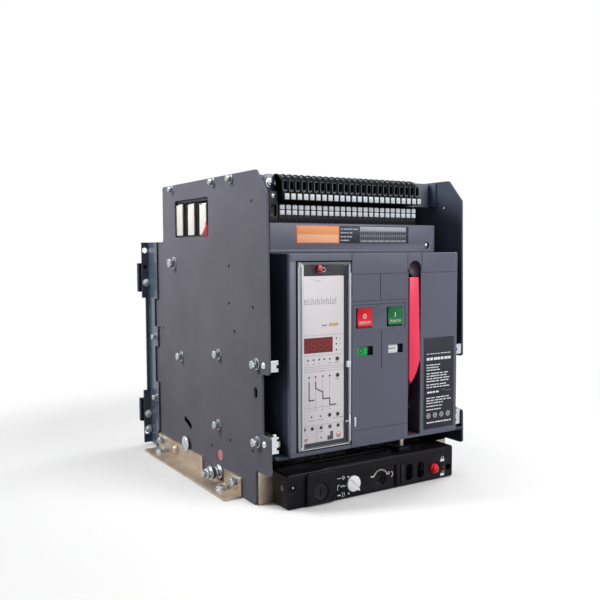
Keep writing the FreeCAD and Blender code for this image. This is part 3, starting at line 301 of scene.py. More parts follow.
def slab(outline, axis, start, length, bevel=0.4, segments=2):
    """Outline of two coordinates, extruded along the third axis from a start value."""
    order = {"x": lambda a, b: (start, a, b), "y": lambda a, b: (a, start, b),
             "z": lambda a, b: (a, b, start)}[axis]
    bm = bmesh.new()
    face = bm.faces.new([bm.verts.new(order(a, b)) for a, b in outline])
    push = {"x": X, "y": Y, "z": Z}[axis] * length
    grown = bmesh.ops.extrude_face_region(bm, geom=[face])
    moved = [g for g in grown["geom"] if isinstance(g, bmesh.types.BMVert)]
    bmesh.ops.translate(bm, vec=push, verts=moved)
    bmesh.ops.recalc_face_normals(bm, faces=bm.faces)
    return soften(bm, bevel, segments)


def oval(cx, cz, wide, tall, angles):
    """Points of an upright ellipse at angles in radians."""
    return [(cx + wide * math.cos(a), cz + tall * math.sin(a)) for a in angles]


def arc_points(cx, cy, radius, start, end, steps=12):
    """Points of an arc in degrees, for outlines."""
    turn = [math.radians(start + (end - start) * k / steps) for k in range(steps + 1)]
    return oval(cx, cy, radius, radius, turn)


def rounded_outline(a, b, radius, steps=5):
    """Rectangle between two pairs of coordinates with round corners."""
    (a0, a1), (b0, b1) = a, b
    corners = ((a1 - radius, b1 - radius, 0), (a0 + radius, b1 - radius, 90),
               (a0 + radius, b0 + radius, 180), (a1 - radius, b0 + radius, 270))
    points = []
    for cx, cy, angle in corners:
        points += arc_points(cx, cy, radius, angle, angle + 90, steps)
    return points


def carve(base, cutters, bevel=0.4, angle=35.0):
    """Base solid with cutters removed, then softened along its sharp edges."""
    def as_object(bm):
        mesh = bpy.data.meshes.new("carving")
        bm.to_mesh(mesh)
        bm.free()
        made = bpy.data.objects.new("carving", mesh)
        bpy.context.scene.collection.objects.link(made)
        return made

    target = as_object(base)
    knives = [as_object(c) for c in cutters]
    for knife in knives:
        modifier = target.modifiers.new("cut", "BOOLEAN")
        modifier.operation = "DIFFERENCE"
        modifier.solver = "EXACT"
        modifier.object = knife
    bpy.context.view_layer.update()
    evaluated = target.evaluated_get(bpy.context.evaluated_depsgraph_get())
    result = bmesh.new()
    result.from_mesh(evaluated.to_mesh())
    evaluated.to_mesh_clear()
    for made in [target] + knives:
        mesh = made.data
        bpy.data.objects.remove(made)
        bpy.data.meshes.remove(mesh)
    bmesh.ops.remove_doubles(result, verts=result.verts, dist=0.001)
    bmesh.ops.dissolve_limit(result, angle_limit=math.radians(1), verts=result.verts,
                             edges=result.edges)
    return soften(result, bevel, 2, angle)


def turned(bm, centre, axis, degrees):
    turn = Matrix.Rotation(math.radians(degrees), 3, axis)
    bmesh.ops.rotate(bm, cent=centre, matrix=turn, verts=bm.verts)
    return bm


def lettering(text, height, centre, depth=0.12, wide=1.0):
    """Text that faces the front (-Y), centred on a point."""
    curve = bpy.data.curves.new("text", "FONT")
    curve.body = text
    curve.align_x = "CENTER"
    curve.align_y = "CENTER"
    curve.size = height
    curve.extrude = depth / 2
    curve.resolution_u = 3
    made = bpy.data.objects.new("text", curve)
    bpy.context.scene.collection.objects.link(made)
    bpy.context.view_layer.update()
    evaluated = made.evaluated_get(bpy.context.evaluated_depsgraph_get())
    mesh = bpy.data.meshes.new_from_object(evaluated)
    bm = bmesh.new()
    bm.from_mesh(mesh)
    bpy.data.objects.remove(made)
    bpy.data.curves.remove(curve)
    bpy.data.meshes.remove(mesh)
    bmesh.ops.scale(bm, vec=(wide, 1, 1), verts=bm.verts)
    stand = Euler((math.radians(90), 0, 0)).to_matrix()
    bmesh.ops.rotate(bm, cent=(0, 0, 0), matrix=stand, verts=bm.verts)
    bmesh.ops.translate(bm, vec=centre, verts=bm.verts)
    return bm


def stroke(points, width, y, depth=0.15):
    """Printed line of straight runs in the XZ plane, facing the front."""
    pieces = []
    for (x0, z0), (x1, z1) in zip(points, points[1:]):
        run = Vector((x1 - x0, 0, z1 - z0))
        bm = block((-run.length / 2 - width / 2, run.length / 2 + width / 2), (-depth / 2, depth / 2),
                   (-width / 2, width / 2), 0)
        turned(bm, (0, 0, 0), "Y", -math.degrees(math.atan2(run.z, run.x)))
        bmesh.ops.translate(bm, vec=((x0 + x1) / 2, y, (z0 + z1) / 2), verts=bm.verts)
        pieces.append(bm)
    return pieces


class Piece:
    """One visible object made of several solids, each with its own material."""

    def __init__(self, name, body):
        self.name = name
        self.body = body
        self.bm = bmesh.new()
        self.materials = []

    def add(self, material, *solids):
        if material not in self.materials:
            self.materials.append(material)
        index = self.materials.index(material)
        for bm in solids:
            for face in bm.faces:
                face.material_index = index
                face.smooth = True
            mesh = bpy.data.meshes.new("part")
            bm.to_mesh(mesh)
            bm.free()
            self.bm.from_mesh(mesh)
            bpy.data.meshes.remove(mesh)
        return self

    def box(self, material, *sizes):
        return self.add(material, block(*sizes))

    def line(self, material, *run):
        return self.add(material, *stroke(*run))

    def dash(self, material, *row):
        return self.add(material, *dashes(*row))

    def place(self, *nodes, slot=None):
        """Make the object, hang it on its body and let it stand for CAD nodes."""
        bmesh.ops.scale(self.bm, vec=(MM, MM, MM), verts=self.bm.verts)
        bmesh.ops.translate(self.bm, vec=(0, FRONT_Y, 0), verts=self.bm.verts)
        mesh = bpy.data.meshes.new(self.name)
        self.bm.to_mesh(mesh)
        self.bm.free()
        for material in self.materials:
            mesh.materials.append(material)
        mesh.set_sharp_from_angle(angle=math.radians(38))
        made = bpy.data.objects.new(self.name, mesh)
        bpy.context.scene.collection.objects.link(made)
        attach(made, self.body)
        if nodes:
            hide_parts(*nodes)
        return made


def dress(node, material, bevel=0.4):
    """Keep a CAD node: give it a finish and soft edges."""
    made = frame["nodes"][node]
    made.data.materials.clear()
    made.data.materials.append(material)
    weld = made.modifiers.new("weld", "WELD")
    weld.merge_threshold = 0.000005
    if bevel:
        edge = made.modifiers.new("edge", "BEVEL")
        edge.width = bevel * MM
        edge.segments = 2
        edge.limit_method = "ANGLE"
        edge.angle_limit = math.radians(50)
        edge.harden_normals = True
    return made


# ---- Fasteners ----------------------------------------------------------------------------
def hex_bolt(piece, point, axis, radius, height, washer=True):
    """Hexagon head on a flat and a spring washer, seated on a surface point."""
    point, axis = Vector(point), Vector(axis).normalized()
    if washer:
        piece.add(ZINC, tube(point, axis, radius * 1.28, 1.2, 0.3))
        piece.add(DULL_STEEL, ring(point + axis * 1.4, axis, radius * 1.1, radius * 0.5, 1.5, 0.25))
        point = point + axis * 3.1
    head = tube(point, axis, radius, height, 0.0, 6)
    cap = tube(point + axis * (height - 0.1), axis, radius * 0.84, 0.5, 0.2, 32)
    dimple = ring(point + axis * (height + 0.3), axis, radius * 0.6, radius * 0.44, 0.25, 0.05)
    piece.add(ZINC, soften(head, radius * 0.09, 2, 30), cap)
    piece.add(DULL_STEEL, dimple)


def pan_screw(piece, point, axis, radius, height, slot_angle=45.0, material=None):
    """Round-headed screw with a cross recess."""
    point, axis = Vector(point), Vector(axis).normalized()
    piece.add(material or ZINC, dome(point, axis, radius, height))
    top = point + axis * (height * 0.8)
    for extra in (0, 90):
        bar = block((-radius * 0.55, radius * 0.55), (-radius * 0.11, radius * 0.11), (0, height * 0.25), 0)
        turned(bar, (0, 0, 0), "Z", slot_angle + extra)
        piece.add(DEEP_BLACK, oriented(bar, top, axis))


# ---- Cradle -------------------------------------------------------------------------------
plate = Box("left_side_plate")
PLATE_OUT = -plate.x[0]
PLATE_IN = -plate.x[1]
TOP = plate.z[1]
FOOT = Box("left_mounting_foot")
BRACKET = Box("left_rear_bracket")
RAIL_Z = Box("left_slide_rail").z[0] + 10.5
GUIDE_Z = Box("left_cradle_rails").z[1] - 7.0
EARTH = Box("earth_bolts")
SIDES = ((-1, "left"), (1, "right"))
SEAT_DISC = (252.0, 32.5)
FOOT_PIN = (291.0, 15.3)
PLATE_BOLTS = ((296.0, 303.5), (270.0, 163.0), (141.0, GUIDE_Z), (32.5, GUIDE_Z),
               (143.3, RAIL_Z), (31.3, RAIL_Z))

KEPT = (
    (PLATE, 0.5, ("left_side_plate",)),
    # The right plate and the top beams take the darker copy of the coat as painted shade.
    (PLATE_PAINTED_SHADE, 0.5, ("right_side_plate", "top_front_beam", "top_rear_beam")),
    (ZINC_YELLOW, 0.4, ("left_mounting_foot", "right_mounting_foot", "base_tray")),
    (GLOSS_BLACK, 0.5, ("left_rear_bracket", "right_rear_bracket", "terminal_mount_sheet")),
    (ZINC, 0.3, ("left_cradle_rails", "right_cradle_rails", "left_slide_rail", "right_slide_rail",
                 "mechanism_frame", "cover_hinge_pin", "handle_axle", "racking_carriage")),
    (SIDE_BLACK, 0.5, ("left_body_plate", "right_body_plate")),
    # The end bracket's lighter grey is painted light: the lit copy of the dark fitting plate at the left
    # end.
    (BRACKET_GREY, 0.5, ("terminal_end_bracket",)),
    (COPPER, 0.5, ("upper_busbars", "lower_busbars", "finger_clusters", "pole_terminals",
                   "contact_arms")),
    (BASE_BLACK, 0.6, ("rear_insulating_base", "pole_rear_moulding", "pole_front_moulding",
                       "arc_chute_1", "arc_chute_2", "arc_chute_3", "current_transformers")),
    (DULL_STEEL, 0.4, ("main_shaft", "camshaft")),
    # The steel racking screw takes the black moulding colour as painted shade deep in the crank hole.
    (BLACK, 0.3, ("racking_screw",)),
    (DULL_STEEL, 0.0, ("closing_spring",)),
)
for finish, edge_width, nodes in KEPT:
    for node in nodes:
        dress(node, finish, edge_width)


def cradle_fasteners():
    piece = Piece("cradle_fasteners", "cradle")
    for side, _ in SIDES:
        out = (side, 0, 0)
        for k, (y, z) in enumerate(PLATE_BOLTS):
            hex_bolt(piece, (side * PLATE_OUT, y, z), out, 7.2 if k == 0 else 5.6, 6.0 if k == 0 else 5.2)
        for y in (100.0, 154.0, 300.0):
            hex_bolt(piece, (side * PLATE_OUT, y, TOP - 6.0), out, 4.2, 3.8)
        for y, z in ((15.8, GUIDE_Z), (14.6, RAIL_Z)):
            piece.add(ZINC, dome((side * PLATE_OUT, y, z), out, 4.4, 2.2))
        for z in (84.0, 183.4):
            hex_bolt(piece, (side * (PLATE_OUT + 3.0), 368.0, z), out, 4.6, 4.4)
        for y in (87.3, 344.5):
            hex_bolt(piece, (side * (PLATE_OUT + 3.0), y, 18.5), out, 5.2, 4.6)
        flange_bolts(piece, side)
        for y in (111.6, 331.4):
            seat = side * (-FOOT.x[0] - 15.5)
            nut = ring((seat, y, 3.0), Z, 8.6, 5.6, 1.2)
            body = ring((seat, y, 4.2), Z, 7.6, 5.6, 4.6, 0.4, 6)
            piece.add(ZINC, nut, body)
        piece.add(DULL_STEEL, tube((side * PLATE_OUT, *SEAT_DISC), out, 5.0, 3.2))
        piece.add(ZINC, tube((side * (PLATE_OUT + 3.1), *SEAT_DISC), out, 12.0, 1.8, 0.6),
                  dome((side * (PLATE_OUT + 4.8), *SEAT_DISC), out, 10.8, 1.6))
        piece.add(ZINC_YELLOW, ring((side * (PLATE_OUT + 3.0), *FOOT_PIN), out, 8.4, 4.0, 1.2),
                  dome((side * (PLATE_OUT + 4.0), *FOOT_PIN), out, 7.0, 5.0))
    piece.place("cradle_bolts", slot="bright_zinc")


def flange_bolts(piece, side):
    """Flat bright heads on the rear wall flanges, facing the front."""
    for z in (26.5, 52.0, 270.0):
        point = Vector((side * (PLATE_OUT + 6.4), BRACKET.y[1] - 3.0, z))
        piece.add(MARKER, ring(point, AHEAD, 6.8, 3.0, 0.9), tube(point - Y * 0.8, AHEAD, 5.6, 2.2, 0.7))
        piece.add(MARKER, dome(point - Y * 2.8, AHEAD, 5.2, 3.6))
    # A flat deep black disc paints the shade inside a hole in the flange.
    slot = Vector((side * (PLATE_OUT + 8.5), BRACKET.y[1] - 3.05, 296.0))
    piece.add(DEEP_BLACK, tube(slot, AHEAD, 3.2, 0.15, 0.0))
    back = mirrored(side, PLATE_OUT - 1.2, PLATE_OUT - 2.6)
    piece.box(GLOSS_BLACK, back, grow(BRACKET.y, 4, -3), (BRACKET.z[0] + 34, BRACKET.z[1]), 0.3)


def earth_studs():
    piece = Piece("earth_studs", "cradle")
    y, z = EARTH.mid("y"), EARTH.mid("z")
    reach = -EARTH.x[0] - PLATE_OUT
    for side, _ in SIDES:
        out = Vector((side, 0, 0))
        base = Vector((side * PLATE_OUT, y, z))
        piece.add(ZINC, tube(base, out, 3.8, reach, 0.8))
        for k in range(4):
            piece.add(DULL_STEEL, ring(base + out * (reach - 1.2 - k * 1.0), out, 4.2, 3.5, 0.5, 0.1))
        for start in (0.0, 13.5):
            piece.add(ZINC, ring(base + out * start, out, 9.8, 4.0, 1.6, 0.3))
        for start in (7.9, 11.6):
            piece.add(DULL_STEEL, ring(base + out * start, out, 7.2, 4.0, 1.8, 0.4))
        piece.add(BRACKET_GREY, ring(base + out * 9.8, out, 8.6, 4.0, 1.6, 0.4))
        for start in (1.6, 15.1):
            nut = tube(base + out * start, out, 7.8, 6.2, 0.0, 6)
            piece.add(ZINC, soften(nut, 0.7, 2, 30))
    piece.place("earth_bolts", slot="bright_zinc")


def earth_stickers():
    piece = Piece("earth_stickers", "cradle")
    y, z = 139.6, 41.0
    for side, _ in SIDES:
        out = Vector((side, 0, 0))
        base = Vector((side * PLATE_OUT, y, z))
        piece.add(WHITE, tube(base, out, 7.2, 0.25, 0.08))
        print_at = base + out * 0.2
        piece.add(RED, ring(print_at, out, 6.9, 5.4, 0.15, 0.03), tube(print_at, out, 4.6, 0.12, 0.03))
        face = mirrored(side, PLATE_OUT + 0.3, PLATE_OUT + 0.5)
        bars = [block(face, around(y, 0.4), off(z, 0.4, 3.4), 0.0)]
        bars += [block(face, around(y, half), (z + low, z + low + 0.6), 0.0)
                 for half, low in ((2.8, 0.0), (1.9, -1.3), (1.0, -2.6))]
        piece.add(WHITE, *bars)
    piece.place(slot="red_plastic")


def window_grilles():
    """Insulating grille behind the plate window: black frame, three pale bars, red flag, and a deep black
    back sheet that paints the shade in the gaps.
    """
    for side, name in SIDES:
        node = name + "_window_grille"
        extent = Box(node)
        piece = Piece(name + "_window_insert", "cradle")

        def depth(a, b):
            return mirrored(side, PLATE_OUT - a, PLATE_OUT - b)

        low, high = 342.0, 397.0
        # Deep black back sheet: painted shade in the gaps between the bars.
        piece.box(DEEP_BLACK, depth(8.0, 5.6), extent.y, extent.z, 0.8)
        opening = block(depth(7.0, 0.0), (174.0, 287.0), (low + 2.0, high - 4.5), 0.0)
        rim = carve(block(depth(5.8, 3.0), extent.y, extent.z, 0.6), [opening], 0.4)
        piece.add(BLACK, rim)
        for y0, y1, top in ((184, 206, 389.0), (225, 247, 390.4), (267, 290, 391.6)):
            bar = block(depth(5.7, 2.6), (y0, y1), (low + 2.4, top), 1.2, 3)
            notch = block(depth(6.0, 2.0), off(y1, -7, -3), off(top, -1.6, 1), 0.0)
            piece.add(CREAM, carve(bar, [notch], 0.2))
        tip = [(175.5, low + 0.6), (200.0, low + 0.6), (190.0, low + 8.0), (183.5, low + 15.0),
               (184.5, low + 18.0), (181.0, low + 21.0), (175.5, low + 13.0)]
        piece.add(MAROON_RED, slab(tip, "x", depth(2.4, 1.4)[0], 1.0, 0.3))
        piece.place(node, slot="cream_moulding")


# ---- Terminals ----------------------------------------------------------------------------
FIXED = Box("fixed_terminal_block")
MOVING = Box("moving_terminal_block")
COUNT = 24
PITCH = (FIXED.x[1] - FIXED.x[0]) / COUNT


def terminal_number(piece, number, height, x, front, z):
    piece.add(PRINT_GREY, lettering(str(number), height, (x, front - 0.02, z), 0.12, 0.7))


def fixed_terminals():
    """Upper row: markers along the foot, clamp modules with a screw tunnel and two glints each."""
    piece = Piece("fixed_terminals", "cradle")
    z0, z1 = FIXED.z
    front, back = FIXED.y
    for k in range(COUNT):
        x0 = FIXED.x[0] + PITCH * k
        span = (x0 + 0.2, x0 + PITCH - 0.2)
        core = [(front + 0.9, z0), (front + 0.9, z0 + 8.7), (front + 6, z0 + 9.7),
                (front + 6.4, z1 - 9.5), (front + 16, z1 - 2.2), (front + 20, z1 - 1.6),
                (back - 14, z1 - 1.6), (back, z1 - 4), (back, z0)]
        tunnel = block(grow(span, -1.6, -1.2), (front, front + 11), (z0 + 14.0, z1 - 9.8), 0.0)
        body = slab(core, "x", span[0], span[1] - span[0], 0.0)
        piece.add(DEEP_BLACK, carve(body, [tunnel], 0.3))
        cheek = [(front + 5.2, z0 + 9.2), (front + 5.8, z1 - 8.6), (front + 9.0, z1 - 5.4),
                 (front + 15.0, z1 - 1.6), (front + 19.0, z1 - 0.6), (front + 24.0, z1 - 0.6),
                 (front + 27.0, z1 - 2.0), (front + 30, z0 + 9.0)]
        piece.add(DEEP_BLACK, slab(cheek, "x", span[0], 1.2, 0.2))
        middle = (span[0] + span[1]) / 2
        left, right = span[0] + 2.0, span[1] - 1.4
        # The pale strokes are painted glints along the window frames and the wire clip.
        frame_y = front + 5.7
        window = [(left, z0 + 13.6), (left, z1 - 10.6), (right, z1 - 10.2)]
        piece.line(GLINT, window[:2], 0.35, frame_y, 0.3).line(GLINT, window[1:], 0.3, frame_y, 0.3)
        clip = [(left + 0.4, z0 + 12.4), (middle, z0 + 11.0), (right - 0.4, z0 + 12.6)]
        piece.line(GLINT, clip, 0.7, frame_y, 0.3)
        screw = Vector((middle + 0.6, front + 12.4, z1 - 4.4))
        tilt = Vector((0, -0.6, 0.8))
        piece.add(DULL_STEEL, tube(screw - tilt * 1.0, tilt, 1.9, 1.6, 0.3, 18))
        bar = block((-1.5, 1.5), (-0.3, 0.3), (0, 0.5), 0.0)
        turned(bar, (0, 0, 0), "Z", 25.0 * (k % 5))
        piece.add(DEEP_BLACK, oriented(bar, screw + tilt * 0.3, tilt))
        piece.box(MARKER, grow(span, -1.3, -1.1), (front, front + 1.4), off(z0, 0.6, 8.1), 0.45)
        terminal_number(piece, k + 1, 3.8, middle + 0.1, front, z0 + 4.3)
    piece.place("fixed_terminal_block", slot="black_moulding")


def moving_terminals():
    """Lower row: two lines of markers over a dark foot, with a deep black patch in it that paints the shade
    of its recess.
    """
    piece = Piece("moving_terminals", "breaker")
    z0, z1 = MOVING.z
    front, back = MOVING.y
    for k in range(COUNT):
        x0 = MOVING.x[0] + PITCH * k
        span = (x0 + 0.15, x0 + PITCH - 0.15)
        core = [(front + 2.0, z0), (front + 1.2, z0 + 8.5), (front + 1.2, z0 + 22), (front + 6, z1),
                (back, z1), (back, z0)]
        piece.add(BLACK, slab(core, "x", span[0], span[1] - span[0], 0.3))
        middle = (span[0] + span[1]) / 2
        # Deep black patch in the foot: painted shade of the recess under the markers.
        piece.box(DEEP_BLACK, grow(span, -2.2, -1.6), off(front, 1.4, 4), off(z0, 1.5, 6.5), 0.3)
        for row, low in enumerate((z0 + 9.9, z0 + 16.7)):
            piece.box(MARKER, grow(span, -1.1), (front, front + 1.5), (low, low + 5.7), 0.45)
            number = (2 * COUNT * row + k + COUNT + 1) % 100
            terminal_number(piece, number, 3.2, middle, front, low + 2.8)
    piece.place("moving_terminal_block", slot="black_moulding")


def terminal_ends():
    end = Box("terminal_end_block")
    piece = Piece("terminal_end_stop", "breaker")
    body = block(end.x, end.y, end.z, 1.2)
    notch = block(grow(end.x, -3), off(end.y[0], -1, 4), off(end.z[0], 8, 22), 0.0)
    piece.add(BLACK, carve(body, [notch], 0.5))
    piece.add(BLACK, ring((end.mid("x"), end.y[0] + 3.9, end.z[0] + 15), AHEAD, 3.2, 1.6, 1.0))
    pan_screw(piece, (end.mid("x") - 1.0, end.y[0], end.z[1] - 6.5), AHEAD, 3.0, 1.8)
    piece.place("terminal_end_block", slot="black_moulding")
    sheet = Box("terminal_mount_sheet")
    piece = Piece("mount_sheet_fittings", "cradle")
    face, left, low, high = 50.0, -141.5, 397.8, sheet.z[1]
    plate = [(left, low), (-112.0, low), (-112.0, high - 1.0), (-136.0, high - 1.0), (left, high - 6.0)]
    # The left fitting plate takes the dark gloss_black coat as painted shadow: the shaded copy of the grey
    # end bracket at the right.
    piece.add(GLOSS_BLACK, slab(plate, "y", face, 2.0, 0.4),
              block((left, left + 2.0), (face, sheet.y[0] + 0.5), (low, high - 6.5), 0.4))
    for x, radius in ((-131.0, 6.0), (-119.5, 4.6)):
        piece.add(ZINC, tube((x, face, 407.6), AHEAD, radius, 1.6, 0.5))
        pan_screw(piece, (x, face - 1.6, 407.6), AHEAD, radius * 0.78, 2.6, 30.0)
    piece.place(slot="bright_zinc")


# ---- Breaker front ------------------------------------------------------------------------
PANEL_BOX = Box("front_panel")
FACE_Y = PANEL_BOX.y[0]
PANEL_HALF = 137.3
PANEL_LOW = 67.2
PANEL_HIGH = PANEL_BOX.z[1]
WALL = 3.0
CONTROL = Box("controller_housing")
DOOR = Box("controller_cover")
OFF = Box("off_button")
ON = Box("on_button")
HANDLE = Box("charging_handle")
SLOT_X = (HANDLE.x[0] - 0.4, 70.3)
SLOT_Z = (71.0, 294.0)
BUTTON_Z = grow(OFF.z, -1.5)
OFF_X = grow(OFF.x, -1.5)
ON_X = grow(ON.x, -1.5)
FLAG_Z = (186.0, 198.0)
STATE = Box("state_indicator")
CHARGE = Box("charge_indicator")
STATE_X = grow(STATE.x, -1.0)
CHARGE_X = grow(CHARGE.x, -1.0)
SCOOP = (60.2, 297.5, 10.5)
RESET_X, RESET_Z = -93.6, 299.0


def groove(x, z, deep=0.9):
    return block(x, (FACE_Y - 1, FACE_Y + deep), z, 0.0)


def front_panel():
    """Moulded cover with its seams, window surrounds and the recess of the charging handle."""
    body = slab(rounded_outline((-PANEL_HALF, PANEL_HALF), (PANEL_LOW, PANEL_HIGH), 2.4), "y",
                FACE_Y, PANEL_BOX.y[1] - FACE_Y, 1.4, 3)
    through = (FACE_Y - 2, FACE_Y + WALL + 2)
    inner = PANEL_HALF - WALL
    knives = [block((-inner, inner), (FACE_Y + WALL, PANEL_BOX.y[1] + 2),
                    (PANEL_LOW + WALL, PANEL_HIGH - WALL), 0.0),
              block(grow(CONTROL.x, 0.8, 0.4), through, grow(CONTROL.z, 0.4), 0.0)]
    knives += [block(x, through, BUTTON_Z, 0.0) for x in (OFF_X, ON_X)]
    knives += [block(x, through, FLAG_Z, 0.0) for x in (STATE_X, CHARGE_X)]
    handle = block(SLOT_X, through, SLOT_Z, 0.0)
    knives += [handle, tube((SCOOP[0], through[0], SCOOP[1]), Y, SCOOP[2], 8, 0.0, 48)]
    knives.append(block((SCOOP[0] - SCOOP[2] - 2, SLOT_X[1]), through, off(SLOT_Z[1], -1, 2.5), 0.0))
    width = 0.45
    left = -43.9
    seams = (((-44.4, -44.4), (PANEL_LOW, PANEL_HIGH)), ((left, SLOT_X[0] - 1.6), (291.6, 291.6)),
             ((72.6, PANEL_HALF + 1), (291.9, 291.9)), ((1.4, 1.4), (257.4, 291.1)),
             ((left, SLOT_X[0] - 1.6), (256.9, 256.9)), ((43.0, 43.0), (216.9, 251.4)),
             ((-39.0, 43.4), (251.9, 251.9)), ((3.4, 3.4), (166.5, 217.0)),
             ((47.4, 47.4), (292.1, PANEL_HIGH)), ((72.1, 72.1), (292.4, PANEL_HIGH)),
             ((left, SLOT_X[0] - 0.6), (89.2, 89.2)), ((SLOT_X[1] + 1.5, PANEL_HALF + 1), (86.5, 86.5)))
    for (x0, x1), (z0, z1) in seams:
        knives.append(groove((x0 - width, x1 + width), (z0 - width, z1 + width)))
    shell = carve(body, knives, 0.32, 40)
    piece = Piece("front_cover", "breaker").add(PANEL, shell)
    for side, _ in SIDES:
        ledge = mirrored(side, inner + 1, PLATE_IN - 2.5)
        piece.box(SIDE_BLACK, ledge, (FACE_Y + 2.8, 36.0), off(PANEL_LOW, -1.2, 1.8), 0.6)
        wall = mirrored(side, PANEL_HALF + 0.15, PANEL_HALF - 1.5)
        piece.box(SIDE_BLACK, wall, (FACE_Y + 5.0, PANEL_BOX.y[1] - 1),
                  (PANEL_LOW + 1, PANEL_HIGH - 1), 0.6)
    raised = block((-42.0, 41.5), off(FACE_Y, -0.25, 0.5), (219.0, 250.8), 0.1)
    holes = [block(grow(x, 0.6), around(FACE_Y, 2), grow(BUTTON_Z, 0.6), 0.0)
             for x in (OFF_X, ON_X)]
    piece.add(PANEL, carve(raised, holes, 0.15))
    pocket_liner(piece)
    for x in (OFF_X, ON_X):
        surround(piece, x, BUTTON_Z, 12.0)
    for x in (STATE_X, CHARGE_X):
        surround(piece, x, FLAG_Z, 1.8)
    bay_rim(piece)
    name_plate(piece)
    pin_x, pin_y, pin_foot = 57.0, 15.0, 51.2
    pin = tube((pin_x, pin_y, PANEL_LOW + 1), -Z, 3.2, PANEL_LOW + 1 - pin_foot, 0.8, 32)
    piece.add(ZINC_YELLOW, pin, ring((pin_x, pin_y, 61.0), -Z, 4.0, 3.0, 2.0))
    piece.box(WHITE, (-41.0, -38.4), off(FACE_Y, -1.6, 0.5), (95.0, 107.5), 0.5)
    piece.place("front_panel", slot="panel_grey")


def surround(piece, x, z, depth):
    """Deep black sleeve behind a window in the panel: painted shade in the recess around the key or flag.
    """
    y = (FACE_Y + 0.9, FACE_Y + depth)
    outer = block(grow(x, 1.0), y, grow(z, 1.0), 0.0)
    inner = block(x, grow(y, 1), z, 0.0)
    piece.add(DEEP_BLACK, carve(outer, [inner], 0.1))


def pocket_liner(piece):
    """Dark channel behind the handle slot, with the round finger recess at its head."""
    back = 36.0
    x0, x1 = SLOT_X
    y = (FACE_Y + WALL - 0.2, back)
    walls = [block((x0 - 1.2, x0), y, SLOT_Z, 0.2), block((x1, x1 + 1.2), y, SLOT_Z, 0.2),
             block((x0 - 1.2, x1 + 1.2), (back, back + 1.2), SLOT_Z, 0.2),
             block((x0 - 1.2, x1 + 1.2), y, (SLOT_Z[0] - 1.2, SLOT_Z[0]), 0.2)]
    piece.add(SLOT_GREY, *walls)
    bm = bmesh.new()
    bmesh.ops.create_uvsphere(bm, u_segments=40, v_segments=24, radius=SCOOP[2] + 0.2)
    bmesh.ops.delete(bm, geom=[v for v in bm.verts if v.co.y < -0.01], context="VERTS")
    bmesh.ops.scale(bm, vec=(1, 0.8, 1), verts=bm.verts)
    bmesh.ops.reverse_faces(bm, faces=bm.faces)
    bmesh.ops.translate(bm, vec=(SCOOP[0], FACE_Y + 1.2, SCOOP[1]), verts=bm.verts)
    piece.add(SLOT_GREY, bm)


def bay_rim(piece):
    """Stepped rim of the controller bay."""
    x = grow(CONTROL.x, 0.8, 0.4)
    z = grow(CONTROL.z, 0.4)
    outer = block(grow(x, 1.6, 1.0), off(FACE_Y, -0.5, 1.0), grow(z, 1.2, 1.4), 0.25)
    inner = block(x, off(FACE_Y, -2, 3), z, 0.0)
    piece.add(DEEP_BLACK, carve(outer, [inner], 0.2))
    piece.box(COVER_GREY, (-PANEL_HALF + 0.6, x[0] - 1.9), off(FACE_Y, -0.12, 0.5), z, 0.05)


def name_plate(piece):
    """Plain rating plate: rules and bars only, no words."""
    y = FACE_Y
    piece.box(NAMEPLATE, (76.6, 131.6), off(y, -0.4, 0.3), (75.6, 202.2), 0.2)
    text_y = y - 0.42
    margin = 81.3
    for z, x1, tall in ((179.8, 126.4, 0.9), (172.8, 126.5, 3.6)):
        piece.dash(PRINT_WHITE, margin, x1, z, tall, text_y, 7)
    rows = ((164.4, 106), (160.9, 103), (157.3, 106), (152.5, 121), (149.0, 119), (145.4, 124),
            (141.8, 123), (137.0, 118), (133.5, 124), (118.6, 125), (115.0, 127), (111.4, 112),
            (107.1, 110), (102.3, 109))
    for k, (z, x1) in enumerate(rows):
        piece.dash(PRINT_WHITE, margin, x1, z, 1.35, text_y, 5 + k % 3)
    piece.dash(PRINT_WHITE, 82.5, 104.0, 126.5, 2.4, text_y, 4)
    piece.line(PRINT_GREY, [(109, 127.6), (113, 129.0), (117, 126.8), (126, 127.0)], 0.35, text_y)
    for x in (85.2, 97.2, 108.9, 121.0):
        ring_mark = ring((x, text_y + 0.1, 94.0), AHEAD, 3.4, 2.7, 0.16, 0.0, 24)
        piece.add(PRINT_WHITE, ring_mark, block(around(x, 1.4), off(text_y, -0.05, 0.1), (93.5, 94.5), 0.0))
    piece.dash(PRINT_WHITE, 82.1, 128.0, 84.3, 1.7, text_y, 9)


def dashes(x0, x1, z, tall, y, words):
    """A printed line as a row of plain bars."""
    span = (x1 - x0) / words
    bars = []
    for k in range(words):
        share = 0.92 - 0.2 * ((k * 7 + int(z)) % 3) / 2
        bars.append(block((x0 + span * k, x0 + span * (k + share)), off(y, -0.06, 0.1),
                          (z - tall / 2, z + tall / 2), 0.0))
    return bars


